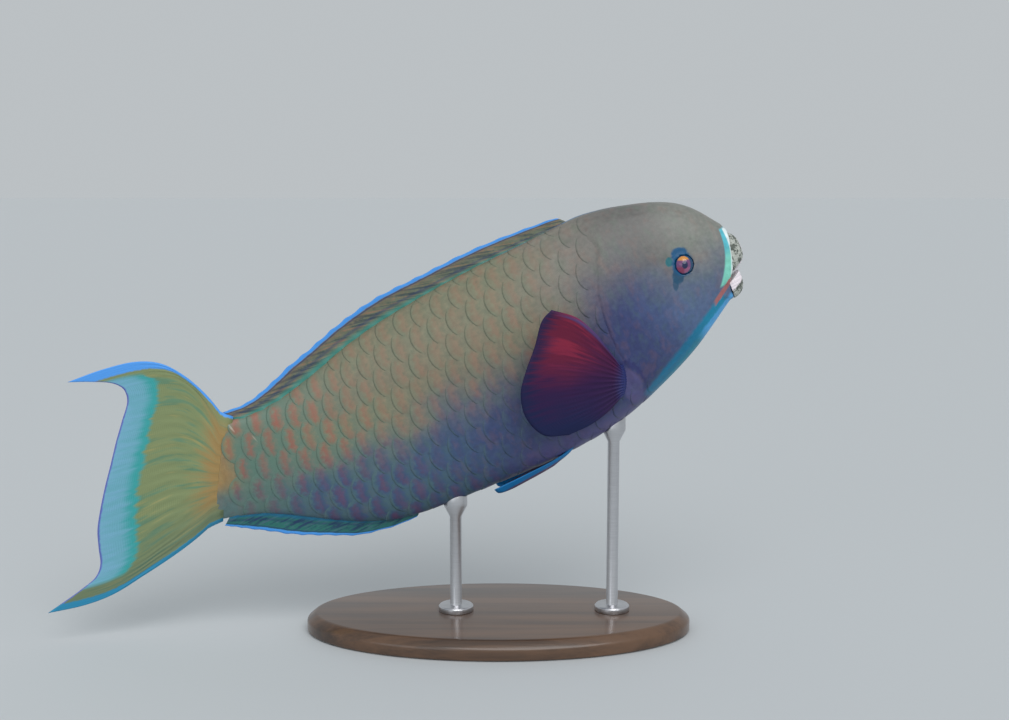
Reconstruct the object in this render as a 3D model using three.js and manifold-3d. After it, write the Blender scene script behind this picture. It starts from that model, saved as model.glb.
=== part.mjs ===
// A life-size parrotfish on a display stand. The fish swims with its head up, its tail bent a little
// up and swung to its right. Millimetres, +X the way the fish heads, +Y its left, +Z up.
// The origin is the centre of the stand's underside.
//
// The fish is modelled straight and level, along its spine: a station is the distance from the snout
// towards the tail, and x is minus the station. Each finished solid is then bent into the pose.

import * as THREE from "three";
import { mergeVertices } from "three/addons/utils/BufferGeometryUtils.js";
import Module from "manifold-3d";

const wasm = await Module();
wasm.setup();

// Clearance between touching solids
const GAP = 0.3;

// Pose: the whole fish is pitched head up, and the spine turns up, sideways and about itself
const DEGREE = Math.PI / 180;
const PITCH = 24 * DEGREE;
const TAIL_LIFT = { angle: 17 * DEGREE, from: 280, to: 500 };
const TAIL_SWING = { angle: -14 * DEGREE, from: 220, to: 600 };
const TAIL_TWIST = { angle: -12 * DEGREE, from: 300, to: 560 };
const SPINE_STEP = 2;
const SPINE_LENGTH = 700;

// Body outline: [station, height above the spine line], and [station, half width]
const SNOUT = -1;
const BODY_END = 492;
const BACK = [
  [-1, 35], [1, 40], [5, 45.5], [10, 52.5], [16, 60.5], [23, 67.5], [33, 74.5], [47, 81], [66, 87],
  [90, 93], [112, 95.6], [150, 94], [200, 92], [250, 88], [290, 83.5], [330, 75.6], [376, 61],
  [419, 47.2], [445, 42.4], [462, 42], [492, 46],
];
const BELLY = [
  [-1, 35], [0, 29], [3, 18], [8, 3], [12, -9], [15.5, -18], [25, -24.6], [41, -34.8], [62, -47.3],
  [100, -64], [133, -75], [170, -82.6], [215, -85.4], [266, -84.9], [316, -83.4], [346, -80.6],
  [370, -73.4], [398, -61.4], [427, -49.4], [446, -44.6], [468, -43.6], [492, -46],
];
const HALF_WIDTH = [
  [-1, 0], [0, 7], [3, 13.5], [8, 18], [15, 21], [30, 26], [50, 30.6], [80, 35.3], [110, 38],
  [150, 38.6], [200, 37.4], [250, 34.4], [300, 29.4], [340, 23.6], [380, 17.2], [420, 11.8],
  [450, 8.8], [475, 6.8], [492, 6],
];
// How round a section is: under 1 is boxier than an oval, over 1 is keener
const BACK_POWER = [[0, 0.95], [60, 0.88], [120, 1.0], [250, 1.12], [440, 1.05], [492, 1]];
const BELLY_POWER = [[0, 0.95], [80, 0.92], [200, 0.9], [330, 1.02], [492, 1]];
const WIDEST_DROP = 3;
const BODY_RINGS = 54;
const BODY_SIDES = 36;
const SNOUT_CROWDING = 1.35;

// Gill cover: its rear edge in side view, how far it stands proud of the flank, and the way its edge
// moves for a clearance. The tail stalk starts at a station of its own
const GILL_EDGE = [
  [113, 115], [108, 84], [103, 66], [110, 52], [118, 32], [122, 10], [122, -14], [119, -32],
  [113, -46], [104, -58], [94, -66], [90, -80],
];
const GILL_LIFT = { height: 1.7, from: 55, to: 112 };
const GILL_SHIFT = [1, -0.7];
const STALK_STATION = 392;

// Cutting blocks reach past the fish: ahead of it, behind it, over and under it, and to its sides
const PAST_SNOUT = -40;
const PAST_TAIL = 900;
const PAST_BACK = 150;
const PAST_SIDE = 90;

// Beak: two blunt ellipsoids in station and height, parted by the wedge of the open mouth
const UPPER_BEAK = { station: 14, height: 18, reach: 20.6, half: 15, tall: 18 };
const LOWER_BEAK = { station: 17.5, height: -4.5, reach: 15, half: 13.5, tall: 16 };
const BEAK_BLUNTNESS = 0.84;
const BEAK_ROOT = 15;
const MOUTH_CORNER = [24, -10];
const MOUTH_FRONT = -12;
const MOUTH_UPPER = 10.2;
const MOUTH_LOWER = 6.4;

// Lips: [station, height, thickness] from the middle of the snout to the corner of the mouth
const UPPER_LIP = [
  [0.5, 34.6, 2.6], [2.5, 29.5, 2.8], [4.5, 22, 3.0], [7.5, 13, 3.6], [12, 4.5, 4.2], [19, -4.2, 3.4],
];
const LOWER_LIP = [
  [16.5, -17.5, 3.0], [17, -16.5, 3.1], [19, -15, 3.0], [23, -12.8, 2.2],
];
const LIP_FLATNESS = 0.6;
const LIP_SIDES = 8;
const LIP_STEPS = 16;

// Slopes are measured between neighbours this far apart, in millimetres or as a share of a curve
const NEARBY = 2;
const NEARBY_SHARE = 0.01;

// Eye, nostrils
const EYE = { station: 45.5, height: 25, radius: 9.2, sunk: 5.6 };
const EYE_RIM = { radius: 8.2, thick: 1.5, sunk: 0.8 };
const NOSTRILS = [
  { station: 27.5, height: 40, radius: 1.3 },
  { station: 31.5, height: 40.5, radius: 1.7 },
];
const NOSTRIL_RIM = { thick: 0.8, sunk: 0.3 };
const NOSTRIL_DEPTH = 2.2;

// Fins: rays stand as ridges on a thin membrane. RAY is a ridge's height at the root of a fin, and
// FLESH the extra half thickness there
const MEMBRANE = 0.45;
const RAY_COLUMNS = 3;
const RAY_TAPER = 0.65;
const THIN_AT_TIP = 0.3;

const MIDLINE_RAY = 0.75;
const MIDLINE_FLESH = 0.9;
const MIDLINE_STEPS = 4;
const DORSAL_BASE = [116, 450];
const DORSAL_RAYS = 19;
const DORSAL_LEAN = 22;
const DORSAL_HEIGHT = [
  [116, 2.5], [126, 6], [146, 9], [176, 12], [200, 13.6], [250, 15.6], [296, 18.4], [330, 18.6],
  [388, 18.6], [410, 15.6], [430, 11], [445, 8.6], [458, 7],
];
const ANAL_BASE = [327, 468];
const ANAL_RAYS = 12;
const ANAL_LEAN = 14;
const ANAL_HEIGHT = [
  [327, 1.5], [344, 4.5], [361, 8.4], [379, 13], [400, 15], [424, 17.4], [440, 16], [455, 12.4],
  [482, 3.5],
];

// Tail fin in side view: its root on the tail stalk, its upper, rear and lower edges
const CAUDAL_RAYS = 13;
const CAUDAL_RAY = 1.1;
const CAUDAL_FLESH = 6.6;
const CAUDAL_FLESHY_SHARE = 0.34;
const CAUDAL_ROOT = [[458.5, 43.6], [466, 22], [472, 0], [477.5, -22], [482, -45.4]];
const CAUDAL_TOP = [
  [458.5, 43.6], [471.5, 66], [487, 84.5], [505, 98], [524, 102.4], [550, 100.2], [580, 93.5],
];
const CAUDAL_REAR = [
  [580, 93.5], [562, 91], [545, 87], [537.5, 81], [536, 71], [543, 54], [550, 38], [557, 20],
  [565, 0], [572, -20], [576.5, -36], [578, -52], [579, -67], [584, -77], [597, -86], [627, -102],
];
const CAUDAL_LOW = [
  [482, -45.4], [499, -57.6], [520, -70], [545, -82.6], [572, -95], [596, -100.4], [627, -102],
];
const CAUDAL_COLUMNS = 4;
const CAUDAL_STEPS = 9;

// Pectoral fin in side view, from its leading ray at the top to its last one
const PECTORAL_RAYS = 13;
const PECTORAL_RAY = 0.6;
const PECTORAL_FLESH = 2.4;
const PECTORAL_ROOT = [[125, -29], [126, -37], [129, -46], [134, -54]];
const PECTORAL_LEAD = [[125, -29], [129, -11], [134, 7.5], [142, 24.5], [158, 39.5]];
const PECTORAL_TIPS = [
  [158, 39.5], [168, 35], [182, 18], [197, 2], [208, -13], [212, -33], [205, -53], [187, -63],
];
const PECTORAL_LAST = [[134, -54], [148, -60], [166, -63.5], [187, -63]];
const PECTORAL_SPREAD = [[0, 0.42], [1, 0.3]];
const PECTORAL_STANDOFF = 0.8;
const PECTORAL_STEPS = 7;
const PECTORAL_SUNK = 4.5;

// Left pelvic fin: [station, distance from the middle, height] along its four edges. It lies nearly
// flat under the belly, and PELVIC_FACE is the direction it faces
const PELVIC_RAYS = 6;
const PELVIC_RAY = 0.45;
const PELVIC_FLESH = 1;
const PELVIC_FACE = new THREE.Vector3(0, -0.42, 0.9);
const PELVIC_ROOT = [[184, 11.5, -80.5], [190, 9, -81.8], [197, 5.5, -82.6]];
const PELVIC_OUTER = [[184, 11.5, -80.5], [208, 14, -83.6], [236, 15.5, -85], [264, 16, -86]];
const PELVIC_TIPS = [[264, 16, -86], [262, 12.5, -90.5], [250, 9, -92.5], [236, 6, -91.4]];
const PELVIC_INNER = [[197, 5.5, -82.6], [208, 5.6, -88.6], [222, 6, -90.6], [236, 6, -91.4]];
const PELVIC_STEPS = 6;

// Stand: an oval base and two rods with a saddle under the belly
const BASE_LENGTH = 330;
const BASE_WIDTH = 170;
const BASE_THICK = 16;
const BASE_EDGE = 3;
const BASE_SIDES = 48;
const BALANCE_STATION = 222;
const TAIL_CLEARANCE = 9;
const ROD_STATIONS = { front: 150, rear: 299 };
const ROD_RADIUS = 5;
const FOOT = { radius: 15, height: 5, chamfer: 1.2 };
const SADDLE = { radius: 10, height: 14 };
const ROD_SIDES = 20;

// Colours, as the photograph shows the parts
const COLOURS = {
  skin: new THREE.Color(0.5, 0.47, 0.37),
  eye: new THREE.Color(0.85, 0.35, 0.12),
  beak: new THREE.Color(0.78, 0.76, 0.7),
  finGold: new THREE.Color(0.66, 0.55, 0.25),
  finGreen: new THREE.Color(0.1, 0.42, 0.42),
  finRed: new THREE.Color(0.5, 0.1, 0.16),
  finBlue: new THREE.Color(0.08, 0.4, 0.75),
  wood: new THREE.Color(0.16, 0.1, 0.07),
  steel: new THREE.Color(0.7, 0.7, 0.72),
};

function smoothStep(low, high, value) {
  const share = Math.min(1, Math.max(0, (value - low) / (high - low)));
  return share * share * (3 - 2 * share);
}

// A smooth function through [input, value] points, with no overshoot between them
function smoothThrough(points) {
  const steepness = (i) => (points[i + 1][1] - points[i][1]) / (points[i + 1][0] - points[i][0]);
  const slopes = points.map((point, i) => {
    if (i === 0) return steepness(0);
    if (i === points.length - 1) return steepness(i - 1);
    const before = steepness(i - 1);
    const after = steepness(i);
    return before * after <= 0 ? 0 : (2 * before * after) / (before + after);
  });
  return (input) => {
    let i = 0;
    while (i < points.length - 2 && input > points[i + 1][0]) i += 1;
    const [x0, y0] = points[i];
    const [x1, y1] = points[i + 1];
    const width = x1 - x0;
    const t = Math.min(1, Math.max(0, (input - x0) / width));
    const rise = (2 * t - 3) * t * t;
    return y0 * (rise + 1) - y1 * rise
      + slopes[i] * width * t * (1 - t) * (1 - t) - slopes[i + 1] * width * t * t * (1 - t);
  };
}

// A curve in space through points that hold two or three numbers, from 0 to 1
function pathThrough(points) {
  const curve = new THREE.CatmullRomCurve3(
    points.map(([a, b, c = 0]) => new THREE.Vector3(a, b, c)),
    false,
    "centripetal",
  );
  return (share) => curve.getPointAt(Math.min(1, Math.max(0, share)));
}

// Spine of the posed fish: a point and three directions at each step from the snout
function turnAt(turn, station) {
  return turn.angle * smoothStep(turn.from, turn.to, station);
}

function tailwardAt(station) {
  const lift = turnAt(TAIL_LIFT, station);
  const swing = turnAt(TAIL_SWING, station);
  return new THREE.Vector3(
    -Math.cos(lift) * Math.cos(swing),
    Math.cos(lift) * Math.sin(swing),
    Math.sin(lift),
  );
}

const spinePoints = [new THREE.Vector3()];
for (let station = 0; station < SPINE_LENGTH; station += SPINE_STEP) {
  const last = spinePoints[spinePoints.length - 1];
  spinePoints.push(last.clone().addScaledVector(tailwardAt(station + SPINE_STEP / 2), SPINE_STEP));
}

// Bends a point of the straight fish along the spine and pitches it head up, with the snout at the origin
function bend(x, y, z) {
  const station = -x;
  const centre = new THREE.Vector3(Math.max(0, x), 0, 0);
  if (station > 0) {
    const step = Math.min(Math.floor(station / SPINE_STEP), spinePoints.length - 2);
    centre.lerpVectors(spinePoints[step], spinePoints[step + 1], station / SPINE_STEP - step);
  }
  const swing = turnAt(TAIL_SWING, station);
  const twist = turnAt(TAIL_TWIST, station);
  const left = new THREE.Vector3(Math.sin(swing), Math.cos(swing), 0);
  const up = tailwardAt(station).negate().cross(left);
  return centre
    .addScaledVector(left, y * Math.cos(twist) + z * Math.sin(twist))
    .addScaledVector(up, z * Math.cos(twist) - y * Math.sin(twist))
    .applyAxisAngle(new THREE.Vector3(0, 1, 0), -PITCH);
}

// The stand's base lies under the balance point, and the lower tail tip just clears its top
const tailTip = bend(-CAUDAL_LOW[CAUDAL_LOW.length - 1][0], 0, CAUDAL_LOW[CAUDAL_LOW.length - 1][1]);
const placement = new THREE.Vector3(
  -bend(-BALANCE_STATION, 0, 0).x,
  0,
  BASE_THICK + TAIL_CLEARANCE - tailTip.z,
);
const pose = (x, y, z) => bend(x, y, z).add(placement);

// Solids from closed lists of vertices and triangles
function solidFrom(positions, triangles) {
  const vertProperties = new Float32Array(positions.flat());
  let volume = 0;
  for (const [a, b, c] of triangles) {
    const [p, q, r] = [positions[a], positions[b], positions[c]];
    volume += p[0] * (q[1] * r[2] - q[2] * r[1]) + p[1] * (q[2] * r[0] - q[0] * r[2])
      + p[2] * (q[0] * r[1] - q[1] * r[0]);
  }
  const facing = volume < 0 ? triangles.map(([a, b, c]) => [a, c, b]) : triangles;
  return new wasm.Manifold(
    new wasm.Mesh({ numProp: 3, vertProperties, triVerts: new Uint32Array(facing.flat()) }),
  );
}

function solidOf(geometry) {
  const bare = geometry.clone();
  bare.deleteAttribute("normal");
  bare.deleteAttribute("uv");
  const merged = mergeVertices(bare, 1e-4);
  return new wasm.Manifold(new wasm.Mesh({
    numProp: 3,
    vertProperties: new Float32Array(merged.attributes.position.array),
    triVerts: new Uint32Array(merged.index.array),
  }));
}

// A skin stretched over rings of equally many points, closed by a fan at each end
function solidFromRings(rings) {
  const sides = rings[0].length;
  const positions = rings.flat();
  const triangles = [];
  for (let ring = 0; ring < rings.length - 1; ring += 1) {
    for (let side = 0; side < sides; side += 1) {
      const next = (side + 1) % sides;
      const [a, b] = [ring * sides + side, ring * sides + next];
      triangles.push([a, b, b + sides], [a, b + sides, a + sides]);
    }
  }
  [0, rings.length - 1].forEach((ring) => {
    const middle = [0, 1, 2].map((axis) => rings[ring].reduce((sum, p) => sum + p[axis], 0) / sides);
    const centre = positions.push(middle) - 1;
    for (let side = 0; side < sides; side += 1) {
      const [a, b] = [ring * sides + side, ring * sides + ((side + 1) % sides)];
      triangles.push(ring === 0 ? [centre, b, a] : [centre, a, b]);
    }
  });
  return solidFrom(positions, triangles);
}

// A thin sheet: sheet(u, v) gives [x, y, z, half thickness], and face is the direction it faces
function solidFromSheet(sheet, columns, rows, face = new THREE.Vector3(0, 1, 0)) {
  const positions = [];
  const at = (column, row, under) => (column * (rows + 1) + row) * 2 + under;
  for (let column = 0; column <= columns; column += 1) {
    for (let row = 0; row <= rows; row += 1) {
      const [x, y, z, half] = sheet(column / columns, row / rows);
      const middle = new THREE.Vector3(x, y, z);
      positions.push(middle.clone().addScaledVector(face, half).toArray());
      positions.push(middle.clone().addScaledVector(face, -half).toArray());
    }
  }
  const triangles = [];
  const quad = (a, b, c, d) => triangles.push([a, b, c], [a, c, d]);
  for (let column = 0; column < columns; column += 1) {
    for (let row = 0; row < rows; row += 1) {
      const corners = [[column, row], [column + 1, row], [column + 1, row + 1], [column, row + 1]];
      quad(...corners.map(([c, r]) => at(c, r, 0)));
      quad(...corners.map(([c, r]) => at(c, r, 1)).reverse());
    }
    quad(at(column, 0, 1), at(column + 1, 0, 1), at(column + 1, 0, 0), at(column, 0, 0));
    quad(at(column, rows, 0), at(column + 1, rows, 0), at(column + 1, rows, 1), at(column, rows, 1));
  }
  for (let row = 0; row < rows; row += 1) {
    quad(at(0, row, 0), at(0, row + 1, 0), at(0, row + 1, 1), at(0, row, 1));
    quad(at(columns, row, 1), at(columns, row + 1, 1), at(columns, row + 1, 0), at(columns, row, 0));
  }
  return solidFrom(positions, triangles);
}

// A prism across the fish, over an outline in station and height
function prism(outline, halfDepth) {
  const shape = new THREE.Shape(outline.map(([station, height]) => new THREE.Vector2(-station, height)));
  const geometry = new THREE.ExtrudeGeometry(shape, { depth: 2 * halfDepth, bevelEnabled: false });
  return solidOf(geometry.rotateX(Math.PI / 2).translate(0, halfDepth, 0));
}

function ellipsoid(x, y, z, halfX, halfY, halfZ, detail, bluntness = 1) {
  const geometry = new THREE.SphereGeometry(1, 2 * detail, detail).rotateX(Math.PI / 2);
  const points = geometry.attributes.position;
  points.array.forEach((value, i) => {
    points.array[i] = Math.sign(value) * Math.abs(value) ** bluntness;
  });
  return solidOf(geometry.scale(halfX, halfY, halfZ).translate(x, y, z));
}

function largest(solid) {
  const pieces = solid.decompose();
  return pieces.reduce((best, piece) => (piece.volume() > best.volume() ? piece : best));
}

// Body: ovals along the spine, with the gill covers proud of the flank
const backAt = smoothThrough(BACK);
const bellyAt = smoothThrough(BELLY);
const halfWidthAt = smoothThrough(HALF_WIDTH);
const backPowerAt = smoothThrough(BACK_POWER);
const bellyPowerAt = smoothThrough(BELLY_POWER);

function sectionAt(station) {
  const top = backAt(station);
  const low = bellyAt(station);
  const slack = Math.min(1, (top - low) / 60);
  return { top, low, wide: halfWidthAt(station), middle: (top + low) / 2 - WIDEST_DROP * slack };
}

// The flank's distance from the middle plane at a station and height
function flankAt(station, height) {
  const { top, low, wide, middle } = sectionAt(station);
  const above = height > middle;
  const rise = Math.min(1, Math.abs(height - middle) / (above ? top - middle : middle - low));
  return wide * (1 - rise * rise) ** ((above ? backPowerAt(station) : bellyPowerAt(station)) / 2);
}

function bodyRing(station, swell, gillLift) {
  const { top, low, wide, middle } = sectionAt(station);
  const proud = gillLift * smoothStep(GILL_LIFT.from, GILL_LIFT.to, station);
  return Array.from({ length: BODY_SIDES }, (_, side) => {
    const turn = (side / BODY_SIDES) * 2 * Math.PI;
    const across = Math.cos(turn);
    const rise = Math.sin(turn);
    const power = rise > 0 ? backPowerAt(station) : bellyPowerAt(station);
    const reach = (rise > 0 ? top - middle : middle - low) + swell;
    const out = Math.abs(across) ** power * (wide + swell) + proud * across * across;
    return [-station, Math.sign(across) * out, middle + reach * rise];
  });
}

function bodySolid(swell, gillLift) {
  const rings = [];
  for (let ring = 1; ring <= BODY_RINGS; ring += 1) {
    const share = (ring / BODY_RINGS) ** SNOUT_CROWDING;
    rings.push(bodyRing(SNOUT + (BODY_END - SNOUT) * share, swell, gillLift));
  }
  return solidFromRings(rings);
}

const plainBody = bodySolid(0, 0);
const gilledBody = bodySolid(0, GILL_LIFT.height);
const bodyRoom = bodySolid(GAP, 0).add(bodySolid(GAP, GILL_LIFT.height).intersect(headSide(GAP)));

// The space ahead of the gill covers' rear edge, moved back and down by an offset
function headSide(offset) {
  const [back, up] = GILL_SHIFT;
  const edge = GILL_EDGE.map(([station, height]) => [station + back * offset, height + up * offset]);
  const last = edge[edge.length - 1];
  return prism([...edge, [PAST_SNOUT, last[1]], [PAST_SNOUT, edge[0][1]]], PAST_SIDE);
}

// A block across the fish between two stations
function between(from, to) {
  return prism([[from, PAST_BACK], [from, -PAST_BACK], [to, -PAST_BACK], [to, PAST_BACK]], PAST_SIDE);
}

// The space behind the root of the tail fin, whose line is carried on past the back and the belly
function behindTailRoot() {
  const upper = CAUDAL_ROOT[0];
  const lower = CAUDAL_ROOT[CAUDAL_ROOT.length - 1];
  const lean = (lower[0] - upper[0]) / (upper[1] - lower[1]);
  return prism([
    [upper[0] - (PAST_BACK - upper[1]) * lean, PAST_BACK],
    ...CAUDAL_ROOT,
    [lower[0] + (PAST_BACK + lower[1]) * lean, -PAST_BACK],
    [PAST_TAIL, -PAST_BACK],
    [PAST_TAIL, PAST_BACK],
  ], PAST_SIDE);
}

// A lip: a tapered roll from one corner of the mouth round the front to the other
function lipSolid(points) {
  const half = points.map(([station, height], i) => {
    const out = i === 0 ? 0 : flankAt(station, height);
    return [-station, out, height];
  });
  const mirrored = half.slice(1).reverse().map(([x, y, z]) => [x, -y, z]);
  const path = pathThrough([...mirrored, ...half]);
  const thickAt = smoothThrough(points.map((point, i) => [i / (points.length - 1), point[2]]));
  const rings = [];
  for (let step = 0; step <= LIP_STEPS; step += 1) {
    const share = step / LIP_STEPS;
    const centre = path(share);
    const along = path(share + NEARBY_SHARE).sub(path(share - NEARBY_SHARE)).normalize();
    const inward = new THREE.Vector3(-MOUTH_CORNER[0], 0, centre.z).sub(centre);
    const across = inward.cross(along).normalize();
    const out = along.clone().cross(across);
    const thick = thickAt(Math.abs(2 * share - 1));
    rings.push(Array.from({ length: LIP_SIDES }, (_, side) => {
      const turn = (side / LIP_SIDES) * 2 * Math.PI;
      return centre.clone()
        .addScaledVector(across, Math.cos(turn) * thick)
        .addScaledVector(out, Math.sin(turn) * thick * LIP_FLATNESS)
        .toArray();
    }));
  }
  return solidFromRings(rings);
}

// Beak: a blunt ellipsoid above the open mouth and one below it, each parted at the middle
const mouthWedge = prism(
  [MOUTH_CORNER, [MOUTH_FRONT, MOUTH_LOWER], [MOUTH_FRONT, MOUTH_UPPER]],
  PAST_SIDE,
);
const overMouth = prism([
  MOUTH_CORNER,
  [MOUTH_FRONT, MOUTH_UPPER],
  [MOUTH_FRONT, PAST_BACK],
  [PAST_BACK, PAST_BACK],
  [PAST_BACK, MOUTH_CORNER[1]],
], PAST_SIDE);

function beakShape(beak, swell) {
  const [reach, half, tall] = [beak.reach + swell, beak.half + swell, beak.tall + swell];
  const shape = ellipsoid(-beak.station, 0, beak.height, reach, half, tall, 9, BEAK_BLUNTNESS);
  return shape.subtract(between(BEAK_ROOT + swell, PAST_TAIL)).subtract(mouthWedge);
}

function beakHalf(beak, side) {
  const whole = beakShape(beak, 0);
  const jaw = beak === UPPER_BEAK ? whole.intersect(overMouth) : whole.subtract(overMouth);
  const oneSide = between(PAST_SNOUT, PAST_TAIL).translate([0, side * (PAST_SIDE + GAP / 2), 0]);
  return largest(jaw.intersect(oneSide));
}

// Eyes and nostrils on one side
function eyeCentre(side) {
  const out = flankAt(EYE.station, EYE.height) - EYE.sunk;
  return [-EYE.station, side * out, EYE.height];
}

function eyeball(side, swell) {
  const [x, y, z] = eyeCentre(side);
  const size = EYE.radius + swell;
  return ellipsoid(x, y, z, size, size, size, 8);
}

// A ring on the flank, facing sideways, tilted as the flank is
function flankRing(side, station, height, radius, thick, sunk, sides) {
  const rise = flankAt(station, height + NEARBY) - flankAt(station, height - NEARBY);
  const run = flankAt(station + NEARBY, height) - flankAt(station - NEARBY, height);
  const tilt = Math.atan2(rise, 2 * NEARBY);
  const turn = Math.atan2(run, 2 * NEARBY);
  const geometry = new THREE.TorusGeometry(radius, thick, 5, sides).rotateX(Math.PI / 2);
  geometry.rotateX(-side * tilt).rotateZ(-side * turn);
  return solidOf(geometry.translate(-station, side * (flankAt(station, height) - sunk), height));
}

function nostrilPit(side, { station, height, radius }) {
  const out = side * flankAt(station, height);
  return ellipsoid(-station, out, height, radius, NOSTRIL_DEPTH, radius, 4);
}

function headSolid() {
  let head = gilledBody.intersect(headSide(0)).add(lipSolid(UPPER_LIP)).add(lipSolid(LOWER_LIP));
  for (const side of [-1, 1]) {
    head = head.add(
      flankRing(side, EYE.station, EYE.height, EYE_RIM.radius, EYE_RIM.thick, EYE_RIM.sunk, 16),
    );
    for (const nostril of NOSTRILS) {
      const { station, height, radius } = nostril;
      const { thick, sunk } = NOSTRIL_RIM;
      head = head.add(flankRing(side, station, height, radius + thick / 2, thick, sunk, 8));
      head = head.subtract(nostrilPit(side, nostril));
    }
    head = head.subtract(eyeball(side, GAP));
  }
  head = head.subtract(beakShape(UPPER_BEAK, GAP)).subtract(beakShape(LOWER_BEAK, GAP));
  return largest(head.subtract(mouthWedge));
}

// Fins

// Half the thickness of a fin: over the membrane, a ridge at each ray that sinks towards its tip
function rayRidge(u, v, rays, height) {
  const wave = (1 - Math.cos(u * rays * 2 * Math.PI)) / 2;
  return MEMBRANE + height * (1 - RAY_TAPER * v) * wave * wave;
}

// Fills the space between four edges; root and tips run along u, first and last along v
function patchBetween(root, tips, first, last) {
  return (u, v) => {
    const point = root(u).multiplyScalar(1 - v).addScaledVector(tips(u), v);
    point.addScaledVector(first(v), 1 - u).addScaledVector(last(v), u);
    point.addScaledVector(root(0), -(1 - u) * (1 - v)).addScaledVector(root(1), -u * (1 - v));
    return point.addScaledVector(tips(0), -(1 - u) * v).addScaledVector(tips(1), -u * v);
  };
}

// A fin along the midline of the back or belly; up is 1 on the back and -1 on the belly
function midlineFin(base, rays, lean, heights, edgeAt, up) {
  const heightAt = smoothThrough(heights);
  const sheet = (u, v) => {
    const foot = base[0] + (base[1] - base[0]) * u;
    const slant = lean * (0.35 + 0.65 * smoothStep(0, 0.3, u)) * (1 - 0.55 * smoothStep(0.8, 1, u));
    const station = foot + slant * v;
    const rise = GAP + (heightAt(foot + slant) - GAP) * v;
    const thick = rayRidge(u, v, rays, MIDLINE_RAY) + MIDLINE_FLESH * (1 - v) ** 3;
    return [-station, 0, edgeAt(station) + up * rise, thick * (1 - THIN_AT_TIP * v)];
  };
  return solidFromSheet(sheet, rays * RAY_COLUMNS, MIDLINE_STEPS);
}

// One lobe of the tail fin, from u = from to u = to; its root is nearly as thick as the tail stalk,
// and splitShift moves the edge where the lobes meet
function caudalLobe(from, to, splitShift) {
  const patch = patchBetween(
    pathThrough(CAUDAL_ROOT),
    pathThrough(CAUDAL_REAR),
    pathThrough(CAUDAL_TOP),
    pathThrough(CAUDAL_LOW),
  );
  const sheet = (share, v) => {
    const u = from + (to - from) * share;
    const { x: station, y: height } = patch(u, v);
    const oval = Math.sqrt(Math.max(0, 4 * u * (1 - u)));
    const fleshy = CAUDAL_FLESH * oval * (1 - smoothStep(0, CAUDAL_FLESHY_SHARE, v));
    const thick = rayRidge(u, v, CAUDAL_RAYS, CAUDAL_RAY) * (1 - THIN_AT_TIP * v);
    const atSplit = u === 0.5 ? splitShift : 0;
    return [-station - (v === 0 ? GAP : 0), 0, height + atSplit, Math.max(thick, fleshy)];
  };
  return solidFromSheet(sheet, Math.round(CAUDAL_RAYS * CAUDAL_COLUMNS * (to - from)), CAUDAL_STEPS);
}

// A pectoral fin: a fan that stands off the flank. The first step of its root runs into the body,
// and is cut away there
function pectoralFin(side) {
  const root = pathThrough(PECTORAL_ROOT);
  const patch = patchBetween(
    root,
    pathThrough(PECTORAL_TIPS),
    pathThrough(PECTORAL_LEAD),
    pathThrough(PECTORAL_LAST),
  );
  const spreadAt = smoothThrough(PECTORAL_SPREAD);
  const inBody = 1 / PECTORAL_STEPS;
  const sheet = (u, along) => {
    const v = Math.max(0, (along - inBody) / (1 - inBody));
    const sunk = PECTORAL_SUNK * Math.max(0, 1 - along / inBody);
    const { x: station, y: height } = patch(u, v);
    const foot = root(u);
    const gone = Math.hypot(station - foot.x, height - foot.y);
    const out = flankAt(foot.x, foot.y) + PECTORAL_STANDOFF + spreadAt(u) * gone;
    const flesh = PECTORAL_FLESH * (1 - smoothStep(0, 0.2, v));
    const thick = (rayRidge(u, v, PECTORAL_RAYS, PECTORAL_RAY) + flesh) * (1 - THIN_AT_TIP * v);
    return [sunk * 0.6 - station, side * (out - sunk), height, thick];
  };
  const fin = solidFromSheet(sheet, PECTORAL_RAYS * RAY_COLUMNS, PECTORAL_STEPS);
  return largest(fin.subtract(bodyRoom));
}

// A pelvic fin, folded back under the belly
function pelvicFin(side) {
  const patch = patchBetween(
    pathThrough(PELVIC_ROOT),
    pathThrough(PELVIC_TIPS),
    pathThrough(PELVIC_OUTER),
    pathThrough(PELVIC_INNER),
  );
  const sheet = (u, v) => {
    const { x: station, y: out, z: height } = patch(u, v);
    const flesh = PELVIC_FLESH * (1 - smoothStep(0, 0.3, v));
    return [-station, side * out, height, rayRidge(u, v, PELVIC_RAYS, PELVIC_RAY) + flesh];
  };
  const face = PELVIC_FACE.clone().multiply(new THREE.Vector3(1, side, 1));
  const fin = solidFromSheet(sheet, PELVIC_RAYS * RAY_COLUMNS, PELVIC_STEPS, face);
  return largest(fin.subtract(bodyRoom));
}

// The mesh of a straight solid, bent into the pose
function posedGeometry(solid) {
  const mesh = solid.getMesh();
  const posed = new Float32Array(mesh.numVert * 3);
  for (let i = 0; i < mesh.numVert; i += 1) {
    const [x, y, z] = mesh.vertProperties.subarray(i * mesh.numProp, i * mesh.numProp + 3);
    pose(x, y, z).toArray(posed, i * 3);
  }
  return geometryFrom(posed, mesh.triVerts);
}

function geometryFrom(positions, triangles) {
  const geometry = new THREE.BufferGeometry();
  geometry.setAttribute("position", new THREE.BufferAttribute(positions, 3));
  geometry.setIndex(new THREE.BufferAttribute(new Uint32Array(triangles), 1));
  geometry.computeVertexNormals();
  return geometry;
}

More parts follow.
